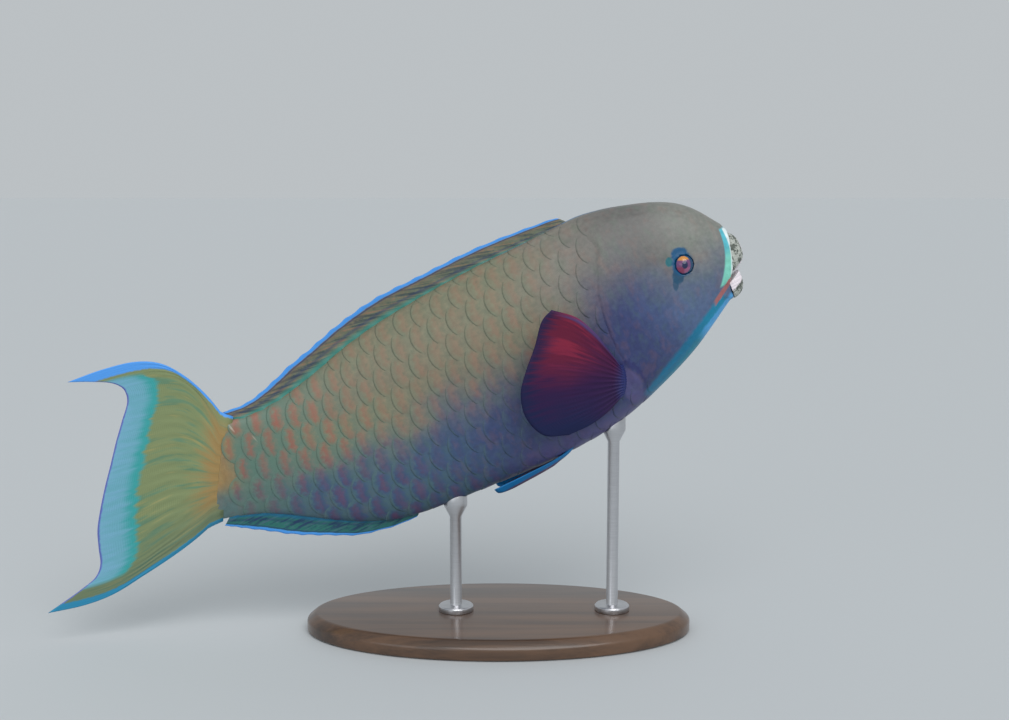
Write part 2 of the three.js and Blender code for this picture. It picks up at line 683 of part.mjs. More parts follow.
// Stand
function baseGeometry() {
  const half = BASE_LENGTH / 2;
  const profile = [
    [0, 0],
    [half - BASE_EDGE, 0],
    [half, BASE_EDGE],
    [half, BASE_THICK - 2 * BASE_EDGE],
    [half - BASE_EDGE, BASE_THICK - 0.6 * BASE_EDGE],
    [half - 2.5 * BASE_EDGE, BASE_THICK],
    [0, BASE_THICK],
  ].map(([radius, height]) => new THREE.Vector2(radius, height));
  const geometry = new THREE.LatheGeometry(profile, BASE_SIDES).rotateX(Math.PI / 2);
  return geometry.scale(1, BASE_WIDTH / BASE_LENGTH, 1);
}

function rodGeometry(station, bodySpace) {
  const touch = pose(-station, 0, bellyAt(station));
  const floor = BASE_THICK + GAP;
  const flare = touch.z - SADDLE.height;
  const profile = [
    [0, floor],
    [FOOT.radius, floor],
    [FOOT.radius, floor + FOOT.height - FOOT.chamfer],
    [FOOT.radius - FOOT.chamfer, floor + FOOT.height],
    [ROD_RADIUS, floor + FOOT.height],
    [ROD_RADIUS, flare],
    [SADDLE.radius, touch.z - 0.3 * SADDLE.height],
    [SADDLE.radius, touch.z + SADDLE.height],
    [0, touch.z + SADDLE.height],
  ].map(([radius, height]) => new THREE.Vector2(radius, height));
  const whole = solidOf(new THREE.LatheGeometry(profile, ROD_SIDES).rotateX(Math.PI / 2));
  const cut = largest(whole.translate([touch.x, touch.y, 0]).subtract(bodySpace));
  const mesh = cut.getMesh();
  return geometryFrom(new Float32Array(mesh.vertProperties), mesh.triVerts);
}

// Assembly
const fish = new THREE.Group();

function addNode(name, geometry, color, roughness, metalness = 0) {
  const mesh = new THREE.Mesh(geometry, new THREE.MeshStandardMaterial({ color, roughness, metalness }));
  mesh.name = name;
  fish.add(mesh);
}

addNode("head", posedGeometry(headSolid()), COLOURS.skin, 0.4);
const torso = plainBody.intersect(between(PAST_SNOUT, STALK_STATION)).subtract(headSide(GAP));
addNode("torso", posedGeometry(largest(torso)), COLOURS.skin, 0.4);
const stalk = plainBody.intersect(between(STALK_STATION + GAP, PAST_TAIL)).subtract(behindTailRoot());
addNode("tail_stalk", posedGeometry(largest(stalk)), COLOURS.skin, 0.4);

for (const [sideName, side] of [["right", -1], ["left", 1]]) {
  addNode(`eye_${sideName}`, posedGeometry(eyeball(side, 0)), COLOURS.eye, 0.1);
  addNode(`beak_upper_${sideName}`, posedGeometry(beakHalf(UPPER_BEAK, side)), COLOURS.beak, 0.6);
  addNode(`beak_lower_${sideName}`, posedGeometry(beakHalf(LOWER_BEAK, side)), COLOURS.beak, 0.6);
  addNode(`pectoral_fin_${sideName}`, posedGeometry(pectoralFin(side)), COLOURS.finRed, 0.5);
  addNode(`pelvic_fin_${sideName}`, posedGeometry(pelvicFin(side)), COLOURS.finBlue, 0.5);
}

const dorsal = midlineFin(DORSAL_BASE, DORSAL_RAYS, DORSAL_LEAN, DORSAL_HEIGHT, backAt, 1);
addNode("dorsal_fin", posedGeometry(dorsal), COLOURS.finGold, 0.5);
const anal = midlineFin(ANAL_BASE, ANAL_RAYS, ANAL_LEAN, ANAL_HEIGHT, bellyAt, -1);
addNode("anal_fin", posedGeometry(anal), COLOURS.finGreen, 0.5);
addNode("caudal_fin_upper", posedGeometry(caudalLobe(0, 0.5, GAP / 2)), COLOURS.finGold, 0.5);
addNode("caudal_fin_lower", posedGeometry(caudalLobe(0.5, 1, -GAP / 2)), COLOURS.finGold, 0.5);

const posedRoom = solidOf(posedGeometry(bodyRoom));
addNode("stand_base", baseGeometry(), COLOURS.wood, 0.35);
for (const [name, station] of Object.entries(ROD_STATIONS)) {
  addNode(`stand_rod_${name}`, rodGeometry(station, posedRoom), COLOURS.steel, 0.3, 1);
}

export default fish;
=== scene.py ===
# %% [markdown]
# # A life-size parrotfish on a display stand
# A big male parrotfish swims with its head up and its tail swung towards us. The CAD model already holds
# its sizes and its pose, so this lesson dresses it: one skin, overlapping scales, fins with branching
# rays, a beak of fused teeth, glossy eyes, and a wooden stand. Everything is in metres in the CAD frame.

# %% Load the frame
import math
import random
from contextlib import contextmanager

import bpy
import numpy as np
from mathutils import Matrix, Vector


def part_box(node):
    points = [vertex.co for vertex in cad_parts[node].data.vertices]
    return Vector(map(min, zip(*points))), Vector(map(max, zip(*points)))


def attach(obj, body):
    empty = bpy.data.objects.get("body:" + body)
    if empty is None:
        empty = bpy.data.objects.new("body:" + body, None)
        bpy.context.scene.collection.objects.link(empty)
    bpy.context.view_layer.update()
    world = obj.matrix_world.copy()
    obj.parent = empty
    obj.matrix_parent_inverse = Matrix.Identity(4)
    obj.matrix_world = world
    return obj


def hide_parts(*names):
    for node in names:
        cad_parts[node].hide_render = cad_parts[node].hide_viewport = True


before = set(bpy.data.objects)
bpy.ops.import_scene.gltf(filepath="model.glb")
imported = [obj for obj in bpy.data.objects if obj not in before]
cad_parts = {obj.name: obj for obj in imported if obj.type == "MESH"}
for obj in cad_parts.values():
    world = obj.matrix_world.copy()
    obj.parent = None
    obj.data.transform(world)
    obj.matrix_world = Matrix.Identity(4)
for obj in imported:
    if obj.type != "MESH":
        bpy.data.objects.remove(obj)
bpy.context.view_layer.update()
MM = 0.001

# %% [markdown]
# ## The fish's own coordinates
# Markings and fins are far easier to lay out on a straight, level fish than on a bent one. So each piece
# is shaped straight, in millimetres: x is minus the station, which counts from the snout to the tail, y is
# the fish's left and z is up. `pose` then bends it along the spine as the CAD does, and `unpose` goes back.

# %% Bend along the spine
PITCH = math.radians(24)
TAIL_LIFT = (math.radians(17), 280, 500)
TAIL_SWING = (math.radians(-14), 220, 600)
TAIL_TWIST = (math.radians(-12), 300, 560)
SPINE_STEP = 2
SPINE_END = 700
BALANCE_STATION = 222
LOWER_TAIL_TIP = (-627, 0, -102)
TAIL_CLEARANCE = 9
UNPOSE_ROUNDS = 12


def smooth_step(low, high, value):
    share = np.clip((value - low) / (high - low), 0, 1)
    return share * share * (3 - 2 * share)


def turn_of(turn, station):
    angle, start, end = turn
    return angle * smooth_step(start, end, station)


def tailward(station):
    lift = turn_of(TAIL_LIFT, station)
    swing = turn_of(TAIL_SWING, station)
    return np.stack([-np.cos(lift) * np.cos(swing), np.cos(lift) * np.sin(swing), np.sin(lift)], -1)


spine_stations = np.arange(0, SPINE_END + SPINE_STEP, SPINE_STEP)
spine_steps = tailward(spine_stations[:-1] + SPINE_STEP / 2) * SPINE_STEP
spine = np.vstack([np.zeros(3), np.cumsum(spine_steps, axis=0)])
pitch_matrix = np.array([
    [math.cos(PITCH), 0, -math.sin(PITCH)],
    [0, 1, 0],
    [math.sin(PITCH), 0, math.cos(PITCH)],
])


def spine_frame(station):
    """The spine's point, and the fish's left and up there."""
    centre = np.stack([np.interp(station, spine_stations, spine[:, axis]) for axis in range(3)], -1)
    centre[:, 0] -= np.minimum(station, 0)
    swing = turn_of(TAIL_SWING, station)
    twist = turn_of(TAIL_TWIST, station)[:, None]
    left = np.stack([np.sin(swing), np.cos(swing), np.zeros_like(swing)], -1)
    up = np.cross(-tailward(station), left)
    return centre, left * np.cos(twist) - up * np.sin(twist), up * np.cos(twist) + left * np.sin(twist)


def bend(straight):
    straight = np.atleast_2d(np.asarray(straight, float))
    centre, left, up = spine_frame(-straight[:, 0])
    return (centre + left * straight[:, 1:2] + up * straight[:, 2:3]) @ pitch_matrix.T


base_low, base_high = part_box("stand_base")
placement = np.array([
    -bend([-BALANCE_STATION, 0, 0])[0, 0],
    0,
    base_high.z / MM + TAIL_CLEARANCE - bend(LOWER_TAIL_TIP)[0, 2],
])


def pose(straight):
    """Straight fish in millimetres to the posed fish in metres."""
    return (bend(straight) + placement) * MM


def unpose(world):
    """Posed fish in metres back to the straight fish in millimetres."""
    bent = (world / MM - placement) @ pitch_matrix
    station = -bent[:, 0]
    for _ in range(UNPOSE_ROUNDS):
        centre, left, up = spine_frame(station)
        station = station + np.sum((bent - centre) * tailward(station), axis=1)
    centre, left, up = spine_frame(station)
    out = bent - centre
    return np.stack([-station, np.sum(out * left, axis=1), np.sum(out * up, axis=1)], -1)


print("the snout is at", pose([0, 0, 0])[0].round(4))

# %% [markdown]
# ## Curves that drive the shapes
# A profile is a short list of points with a smooth curve through them. `smooth_through` gives a value for
# each station and never overshoots, which suits an outline. `path_through` is a rounder curve in space,
# walked by its own length, which suits the edge of a fin.

# %% Curve helpers
def smooth_through(points):
    x, y = np.array(points, float).T
    steep = np.diff(y) / np.diff(x)
    before, after = steep[:-1], steep[1:]
    even = np.where(before * after > 0, before + after, 1)
    inner = np.where(before * after > 0, 2 * before * after / even, 0)
    slopes = np.concatenate([steep[:1], inner, steep[-1:]])

    def value(at):
        i = np.clip(np.searchsorted(x, at) - 1, 0, len(x) - 2)
        width = x[i + 1] - x[i]
        t = np.clip((at - x[i]) / width, 0, 1)
        rise = (2 * t - 3) * t * t
        ends = y[i] * (rise + 1) - y[i + 1] * rise
        return ends + width * t * (1 - t) * (slopes[i] * (1 - t) - slopes[i + 1] * t)

    return value


CURVE_STEPS = 24


def path_through(points):
    p = np.array([(*point, 0)[:3] for point in points], float)
    p = np.vstack([2 * p[0] - p[1], p, 2 * p[-1] - p[-2]])
    t = np.linspace(0, 1, CURVE_STEPS, endpoint=False)[:, None]
    dense = []
    for a, b, c, d in zip(p, p[1:], p[2:], p[3:]):
        ab, bc, cd = (np.linalg.norm(q - r) ** 0.5 for q, r in ((b, a), (c, b), (d, c)))
        leave = bc * ((b - a) / ab - (c - a) / (ab + bc) + (c - b) / bc)
        reach = bc * ((c - b) / bc - (d - b) / (bc + cd) + (d - c) / cd)
        cubic = 2 * b - 2 * c + leave + reach
        square = 3 * c - 3 * b - 2 * leave - reach
        dense.append(((cubic * t + square) * t + leave) * t + b)
    dense = np.vstack([*dense, p[-2:-1]])
    length = np.concatenate([[0], np.cumsum(np.linalg.norm(np.diff(dense, axis=0), axis=1))])
    share = length / length[-1]
    return lambda at: np.stack([np.interp(at, share, dense[:, axis]) for axis in range(3)], -1)


def patch_between(*edges):
    """A surface stretched between four edges: root and tips run along u, first and last along v."""
    root, tips, first, last = (path_through(points) for points in edges)

    def point(u, v):
        a, b = u[:, None], v[:, None]
        along = root(u) * (1 - b) + tips(u) * b + first(v) * (1 - a) + last(v) * a
        zero, one = np.zeros(1), np.ones(1)
        corners = root(zero) * (1 - a) * (1 - b) + root(one) * a * (1 - b)
        return along - corners - tips(zero) * (1 - a) * b - tips(one) * a * b

    return point


# %% [markdown]
# ## Reaching into a mesh
# Most pieces start as a primitive whose vertices are then moved in code. These helpers read and write all
# of a mesh's vertices at once, and keep a value for each vertex that a material can read by name.

# %% Mesh helpers
def select_only(*pieces):
    bpy.ops.object.select_all(action="DESELECT")
    for piece in pieces:
        piece.select_set(True)
    bpy.context.view_layer.objects.active = pieces[0]


def points_of(piece):
    flat = np.zeros(len(piece.data.vertices) * 3, np.float32)
    piece.data.vertices.foreach_get("co", flat)
    return flat.reshape(-1, 3).astype(float)


def set_points(piece, points):
    piece.data.vertices.foreach_set("co", np.asarray(points, np.float32).ravel())
    piece.data.update()


def normals_of(piece):
    flat = np.zeros(len(piece.data.vertices) * 3, np.float32)
    piece.data.vertex_normals.foreach_get("vector", flat)
    return flat.reshape(-1, 3).astype(float)


def keep_values(piece, name, values):
    """Stores a vector for each vertex, to be read by an Attribute node."""
    layer = piece.data.attributes.new(name, "FLOAT_VECTOR", "POINT")
    layer.data.foreach_set("vector", np.asarray(values, np.float32).ravel())


def keep_uv(piece, u, v):
    """One UV map, from a pair of numbers for each vertex."""
    layer = piece.data.uv_layers.get("OFBake") or piece.data.uv_layers.new(name="OFBake")
    corners = np.zeros(len(piece.data.loops), np.int32)
    piece.data.loops.foreach_get("vertex_index", corners)
    layer.data.foreach_set("uv", np.stack([u[corners], v[corners]], -1).astype(np.float32).ravel())


def apply_all(piece):
    select_only(piece)
    for modifier in list(piece.modifiers):
        bpy.ops.object.modifier_apply(modifier=modifier.name)


@contextmanager
def editing(piece):
    """Opens a piece in edit mode with all of it selected, and closes it after the block's operators."""
    select_only(piece)
    bpy.ops.object.mode_set(mode="EDIT")
    bpy.ops.mesh.select_all(action="SELECT")
    yield
    bpy.ops.object.mode_set(mode="OBJECT")


def face_outwards(piece):
    with editing(piece):
        bpy.ops.mesh.remove_doubles(threshold=1e-6)
        bpy.ops.mesh.normals_make_consistent(inside=False)


def copy_of_node(node, name):
    """A welded copy of a CAD node, to work on."""
    select_only(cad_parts[node])
    bpy.ops.object.duplicate()
    piece = bpy.context.object
    for key in list(piece.keys()):
        del piece[key]
    piece.parent = None
    piece.name = name
    piece.data.materials.clear()
    face_outwards(piece)
    return piece


def finish_piece(piece, name, material, nodes, crease=None):
    """Names, shades and hands over a piece; edges sharper than crease, in degrees, stay sharp."""
    piece.name = name
    piece.data.name = name
    piece.data.materials.clear()
    piece.data.materials.append(material)
    select_only(piece)
    if crease is None:
        bpy.ops.object.shade_smooth()
    else:
        bpy.ops.object.shade_smooth_by_angle(angle=math.radians(crease))
    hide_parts(*nodes)
    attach(piece, "root")
    print(f"{name}: {len(piece.data.polygons)} faces")


# %% [markdown]
# ## Shader sums as Python
# A material is easier to read as a sum than as a web of nodes. `Wire` holds a socket, so `1 - mask * 2`
# adds the Math nodes it needs. `Sheet` is one material: `node` adds any node, `mix` blends two colours,
# `coat` lays a colour over the last one where a mask is 1, and `shine` connects the finished surface.

# %% Shader helpers
class Wire:
    """A socket that can stand in a sum."""

    def __init__(self, sheet, socket):
        self.sheet = sheet
        self.socket = socket

    def math(self, operation, *terms):
        return self.sheet.node("ShaderNodeMath", {"operation": operation}, dict(enumerate(terms)))

    def __add__(self, other):
        return self.math("ADD", self, other)

    def __sub__(self, other):
        return self.math("SUBTRACT", self, other)

    def __rsub__(self, other):
        return self.math("SUBTRACT", other, self)

    def __mul__(self, other):
        return self.math("MULTIPLY", self, other)

    def __truediv__(self, other):
        return self.math("DIVIDE", self, other)

    def __pow__(self, other):
        return self.math("POWER", self, other)

    def __abs__(self):
        return self.math("ABSOLUTE", self)

    __radd__ = __add__
    __rmul__ = __mul__

    def over(self, other):
        return self.math("MAXIMUM", self, other)

    def under(self, other):
        return self.math("MINIMUM", self, other)

    def wave(self):
        """0 at whole numbers and 1 half way between them."""
        return 0.5 - 0.5 * self.math("COSINE", self * (2 * math.pi))

    def step(self, low, high):
        """0 below low, 1 above high, smooth between; it falls instead where high is under low."""
        return self.sheet.node(
            "ShaderNodeMapRange",
            {"interpolation_type": "SMOOTHSTEP"},
            {0: self, 1: min(low, high), 2: max(low, high), 3: float(low > high), 4: float(low < high)},
        )

    def band(self, low, high, soft):
        return self.step(low - soft, low + soft) * self.step(high + soft, high - soft)


class Sheet:
    """A material, as its node tree."""

    def __init__(self, name):
        self.material = bpy.data.materials.new(name)
        self.material.use_nodes = True
        self.tree = self.material.node_tree
        self.surface = self.tree.nodes["Principled BSDF"]
        self.colour = None

    def node(self, kind, settings=None, inputs=None, output=0):
        made = self.tree.nodes.new(kind)
        for key, value in (settings or {}).items():
            setattr(made, key, value)
        for key, value in (inputs or {}).items():
            self.feed(made.inputs[key], value)
        return Wire(self, made.outputs[output])

    def feed(self, socket, value):
        if isinstance(value, Wire):
            self.tree.links.new(value.socket, socket)
        elif socket.type == "RGBA":
            socket.default_value = (*value, 1)
        else:
            socket.default_value = value

    def mix(self, factor, first, second):
        return self.node("ShaderNodeMix", {"data_type": "RGBA"}, {0: factor, 6: first, 7: second}, 2)

    def coat(self, mask, colour):
        self.colour = self.mix(mask, self.colour, colour)

    def value(self, name):
        """The three numbers kept for each vertex under a name, and the vector itself."""
        vector = self.node("ShaderNodeAttribute", {"attribute_name": name}, None, "Vector")
        parts = [self.node("ShaderNodeSeparateXYZ", None, {0: vector}, axis) for axis in range(3)]
        return vector, *parts

    def place(self):
        return self.node("ShaderNodeTexCoord", None, None, "Object")

    def scaled(self, vector, scale):
        return self.node("ShaderNodeMapping", None, {0: vector, 3: scale})

    def noise(self, vector, scale, detail=3.0):
        return self.node("ShaderNodeTexNoise", None, {0: vector, 2: scale, 3: detail, 4: 0.55})

    def streaks(self, across, along):
        """Noise that is drawn out along the rays of a fin."""
        return self.noise(self.node("ShaderNodeCombineXYZ", None, {0: across, 1: along}), 1.0)

    def bump(self, height, strength, distance):
        settings = {"Strength": strength, "Distance": distance, "Height": height}
        return self.node("ShaderNodeBump", None, settings)

    def shine(self, **sockets):
        for name, value in {"Base_Color": self.colour, **sockets}.items():
            self.feed(self.surface.inputs[name.replace("_", " ")], value)
        return self.material


# %% [markdown]
# ## The body's outline
# The scales have to lie on the body at any station, so its profile is set out again here: the line of the
# back, the line of the belly, and the half width. A section is an oval, a little boxy or keen in places.

# %% Body sections
BACK = [
    (-1, 35), (1, 40), (5, 45.5), (10, 52.5), (16, 60.5), (23, 67.5), (33, 74.5), (47, 81), (66, 87),
    (90, 93), (112, 95.6), (150, 94), (200, 92), (250, 88), (290, 83.5), (330, 75.6), (376, 61),
    (419, 47.2), (445, 42.4), (462, 42), (492, 46),
]
BELLY = [
    (-1, 35), (0, 29), (3, 18), (8, 3), (12, -9), (15.5, -18), (25, -24.6), (41, -34.8), (62, -47.3),
    (100, -64), (133, -75), (170, -82.6), (215, -85.4), (266, -84.9), (316, -83.4), (346, -80.6),
    (370, -73.4), (398, -61.4), (427, -49.4), (446, -44.6), (468, -43.6), (492, -46),
]
HALF_WIDTH = [
    (-1, 0), (0, 7), (3, 13.5), (8, 18), (15, 21), (30, 26), (50, 30.6), (80, 35.3), (110, 38),
    (150, 38.6), (200, 37.4), (250, 34.4), (300, 29.4), (340, 23.6), (380, 17.2), (420, 11.8),
    (450, 8.8), (475, 6.8), (492, 6),
]
WIDEST_DROP = 3
DEEP_BODY = 60
back_at = smooth_through(BACK)
belly_at = smooth_through(BELLY)
half_width_at = smooth_through(HALF_WIDTH)
back_power_at = smooth_through([(0, 0.95), (60, 0.88), (120, 1.0), (250, 1.12), (440, 1.05), (492, 1)])
belly_power_at = smooth_through([(0, 0.95), (80, 0.92), (200, 0.9), (330, 1.02), (492, 1)])


def section_at(station):
    """The back, the belly, and the level where the section is widest."""
    top = back_at(station)
    low = belly_at(station)
    return top, low, (top + low) / 2 - WIDEST_DROP * np.minimum(1, (top - low) / DEEP_BODY)


def body_point(station, turn, side):
    """A point of the straight body: turn goes from -90 degrees at the belly to 90 at the back."""
    top, low, middle = section_at(station)
    rise = np.sin(turn)
    across = np.cos(turn)
    power = np.where(rise > 0, back_power_at(station), belly_power_at(station))
    reach = np.where(rise > 0, top - middle, middle - low)
    out = side * np.sign(across) * np.abs(across) ** power * half_width_at(station)
    return np.stack([-station, out, middle + reach * rise], -1)


def flank_at(station, height):
    """How far the flank lies from the middle plane."""
    top, low, middle = section_at(station)
    above = height > middle
    rise = np.minimum(1, np.abs(height - middle) / np.where(above, top - middle, middle - low))
    power = np.where(above, back_power_at(station), belly_power_at(station))
    return half_width_at(station) * (1 - rise * rise) ** (power / 2)


print("the body is widest at the shoulder:", round(float(half_width_at(150)) * 2, 1), "mm")

# %% [markdown]
# ## Colours of the flesh
# The live colours are soft clouds: grey on the head, pale at the snout, tan on the back and olive along
# the flank, over slate blue on the cheek, dusky violet on the belly and teal behind it. The dark lower half
# is partly these colours and partly painted shade from the light above, and the olive band along the
# middle of the flank is partly a painted highlight. The same sum colours the skin and the scales, so
# nothing jumps where one ends. It reads the straight fish's station and height, and every edge is
# blurred by noise.

# %% Flesh colours
FOREHEAD = (0.14, 0.135, 0.128)
SNOUT_PALE = (0.225, 0.23, 0.205)
CHEEK = (0.088, 0.142, 0.275)
SHOULDER = (0.212, 0.195, 0.166)
BACK_TAN = (0.21, 0.195, 0.126)
FLANK_TAUPE = (0.205, 0.178, 0.12)
REAR_TAN = (0.182, 0.172, 0.122)
THROAT_VIOLET = (0.036, 0.05, 0.15)
BELLY_VIOLET = (0.041, 0.057, 0.162)
LOWER_TEAL = (0.045, 0.09, 0.188)
FLANK_OLIVE_HIGHLIGHT = (0.25, 0.24, 0.13)
STALK_GREEN = (0.12, 0.2, 0.155)
TAIL_ORANGE = (0.36, 0.21, 0.07)
WARM_BLOT = (0.3, 0.13, 0.09)
GREEN_BLOT = (0.1, 0.19, 0.12)
BACK_BLUE = (0.1, 0.24, 0.42)


def flesh_clouds(sheet, station, height, cloud, speck):
    """The broad colours, before any marking."""

    def along(drift, low, high):
        return (station + cloud * drift).step(low, high)

    blurred = height + cloud * 40 + speck * 9
    upper = sheet.mix(along(20, 75, 25) * blurred.step(-12, 30) * 0.85, FOREHEAD, SNOUT_PALE)
    upper = sheet.mix(along(50, 75, 150), upper, SHOULDER)
    upper = sheet.mix(along(70, 120, 210), upper, BACK_TAN)
    middle = blurred.step(70, 20) * station.step(150, 240) * station.step(440, 360)
    upper = sheet.mix(middle * 0.8, upper, FLANK_TAUPE)
    upper = sheet.mix(along(60, 340, 430), upper, REAR_TAN)
    lower = sheet.mix(along(60, 45, 105), CHEEK, THROAT_VIOLET)
    lower = sheet.mix(along(80, 150, 260), lower, BELLY_VIOLET)
    lower = sheet.mix(along(70, 200, 310), lower, LOWER_TEAL)
    # Painted shade: the lower colours darken the lower half, partly the fish's own colour and partly shade
    # from light above; shade lifts this dark part higher over the gill and throat.
    shade = station.band(70, 140, 25) * 30
    lower_colour_and_painted_shade = (blurred - shade + (station - 60).over(0).under(260) * 0.06).step(42, -26)
    sheet.colour = sheet.mix(lower_colour_and_painted_shade, upper, lower)
    # Painted highlight: a paler olive band across the middle of the flank, partly olive colour and partly
    # painted light.
    olive_and_highlight = (station + cloud * 60).band(290, 410, 35) * blurred.band(-14, 24, 12)
    sheet.coat(olive_and_highlight * 0.45, FLANK_OLIVE_HIGHLIGHT)
    sheet.coat(along(30, 385, 440) * blurred.band(-46, 22, 12) * 0.7, STALK_GREEN)
    orange = (station - height * 0.1 + cloud * 30).step(440, 478) * height.step(-26, -8)
    sheet.coat(orange * 0.9, TAIL_ORANGE)


# %% [markdown]
# ## Markings of the head
# The upper lip is mint with a white inner line, a salmon stripe fills the corner of the mouth, and the
# chin is teal with a bright blue rim. Round the eye lie a dark blue cap, a green spot and a grey spike.
# `MARKS` gives each a colour, its place ahead of the eye and above it in millimetres, with the head up as
# it swims, half its length, half its height, and a strength. The root of the pectoral fin sits in a
# lavender patch with a navy arc in front, and that arc is partly painted shadow of the fin.

# %% Head markings
LIP_MINT = (0.21, 0.62, 0.5)
LIP_SKY = (0.1, 0.5, 0.6)
LIP_LINE = (0.85, 0.95, 0.95)
CORNER_SALMON = (0.42, 0.145, 0.145)
CHIN_TEAL = (0.0, 0.17, 0.32)
CHIN_BRIGHT = (0.0, 0.25, 0.42)
CHIN_TURQUOISE = (0.0, 0.22, 0.34)
CHIN_SKY = (0.07, 0.4, 0.8)
EYE_CAP = (0.0, 0.08, 0.2)
EYE_SPOT = (0.008, 0.14, 0.17)
EYE_SPIKE = (0.01, 0.07, 0.14)
STALK_NAVY_AND_SHADOW = (0.025, 0.028, 0.13)
STALK_LAVENDER = (0.115, 0.1, 0.26)
SCRAPE_WHITE = (0.6, 0.55, 0.45)
EYE_STATION = 45.5
EYE_HEIGHT = 25
MARKS = (
    (EYE_SPIKE, -6.4, -15.0, 2.6, 6.0, 0.75),
    (EYE_SPIKE, -4.4, -9.0, 5.0, 6.5, 0.9),
    (EYE_SPOT, -12.0, 2.6, 3.2, 3.9, 0.95),
    (EYE_CAP, -1.0, 0.8, 9.0, 9.6, 0.95),
    (EYE_CAP, -3.4, 8.4, 7.2, 6.6, 1.0),
)


def mouth_markings(sheet, station, height, speck):
    chin = height + station * 0.55 + 9.4 + speck * 5
    along_chin = (station - chin * 0.4 + speck * 10).band(20, 111, 4)
    sheet.coat(chin.step(15, 10) * along_chin, sheet.mix(station.step(70, 35), CHIN_TEAL, CHIN_BRIGHT))
    sheet.coat(chin.step(6, 1) * along_chin, CHIN_TURQUOISE)
    sheet.coat(chin.step(6.5, 3.5) * (station + speck * 8).band(16, 52, 7), CHIN_SKY)
    lip = station - 3.2 - ((30 - height).over(0) ** 2) * 0.0103
    width = 3 + (36 - height).over(0) * 0.13
    band = (lip / width + speck * 0.15).band(-2, 1, 0.14) * height.band(-5, 38.5, 1.2)
    sheet.coat(band, sheet.mix(height.step(12, 26), LIP_MINT, LIP_SKY))
    sheet.coat((lip / width).step(0.16, -0.12) * height.band(1, 38, 1), LIP_LINE)
    corner = abs(height + 2.4 + (station - 12) * 0.62 + speck * 2).step(3, 1.6)
    sheet.coat(corner * station.band(8, 33, 2), CORNER_SALMON)


def eye_markings(sheet, station, height, speck):
    behind = station - EYE_STATION
    over = height - EYE_HEIGHT
    right = behind * -math.cos(PITCH) - over * math.sin(PITCH)
    above = over * math.cos(PITCH) - behind * math.sin(PITCH)
    for shade, ahead, up, half, tall, strength in MARKS:
        spot = ((right - ahead) / half) ** 2 + ((above - up) / tall) ** 2 + speck * 0.8
        sheet.coat(spot.step(1.3, 0.65) * strength, shade)


def fin_root_markings(sheet, station, height, speck):
    belly = (height + speck * 12).step(-56, -74) * station.band(110, 230, 30)
    sheet.coat(belly * 0.55, STALK_LAVENDER)
    # The navy arc round the fin root is partly navy colour and partly painted shadow of the fin.
    root = (((station - 123) / 11) ** 2 + ((height + 50) / 22) ** 2) ** 0.5 + speck * 0.5
    sheet.coat(root.band(0.9, 1.15, 0.12) * height.step(-62, -46) * 0.8, STALK_NAVY_AND_SHADOW)
    sheet.coat(root.step(0.92, 0.6) * 0.6, STALK_LAVENDER)


# %% [markdown]
# Small warm and green blots break the clouds up, a thin blue line runs forward from the back fin, and the
# right side carries two whitish scrapes where the body meets the tail.

# %% Flesh colour
SCRAPES = ((455.5, 36, 0.9, 4.4, 0.6), (436.5, 23, 0.7, 3.4, 0.3))


def flesh_colour(sheet):
    """Paints the sheet as flesh, and returns what the paint reads."""
    fish, x, y, height = sheet.value("fish")
    station = 0 - x
    cloud = sheet.noise(fish, 0.028) - 0.5
    speck = sheet.noise(fish, 0.26) - 0.5
    flesh_clouds(sheet, station, height, cloud, speck)
    blot = sheet.noise(sheet.scaled(fish, (1.0, 1.0, 0.5)), 0.12)
    sheet.coat(blot.step(0.5, 0.68) * 0.13, WARM_BLOT)
    sheet.coat(blot.step(0.5, 0.32) * 0.16, GREEN_BLOT)
    ridge = abs(y).step(5, 1.5) * height.step(30, 45) * station.band(95, 190, 25)
    sheet.coat(ridge * 0.8, BACK_BLUE)
    for markings in (mouth_markings, eye_markings, fin_root_markings):
        markings(sheet, station, height, speck)
    for at, up, half, tall, strength in SCRAPES:
        drift = station - at - (height - up) * 0.62
        scrape = (drift / half) ** 2 + ((height - up) / tall) ** 2 + speck * 2.5
        sheet.coat(scrape.step(1.3, 0.6) * y.step(0, -1) * strength, SCRAPE_WHITE)
    light = {"Color": sheet.colour, "Value": 1 + speck * 0.6}
    sheet.colour = sheet.node("ShaderNodeHueSaturation", None, light)
    return station, height, speck, fish


def skin_material():
    sheet = Sheet("parrotfish_skin")
    station, height, speck, fish = flesh_colour(sheet)
    pores = sheet.noise(fish, 1.4, 2.0)
    creases = sheet.noise(sheet.scaled(fish, (1.0, 1.0, 0.35)), 0.5, 2.0)
    normal = sheet.bump(pores * 0.35 + creases * 0.65, 0.3, 0.0008)
    return sheet.shine(Roughness=0.44 + speck * 0.2, Normal=normal, Coat_Weight=0.12, Coat_Roughness=0.3,
                       Specular_IOR_Level=0.35)


# %% [markdown]
# ## One skin
# On the real fish no line shows where the head ends and the body begins. The three CAD solids are joined,
# a voxel remesh wraps them in one even net that closes the hairline cuts, and smoothing takes the facets
# out. The net is then thinned, pulled in a little where scales will lie over it, and swollen at the roots
# of the pectoral fins.

# %% Skin
SKIN_VOXEL = 1.1 * MM
SKIN_TRIANGLES = 185000
SKIN_SMOOTHING = 9
SCALE_ROOM = 0.45
SCALED_FROM = (108, 128)
FIN_ROOT = {"station": 117, "height": -48, "lean": 0.12, "half": 4.6, "tall": 17, "rise": 2.4}


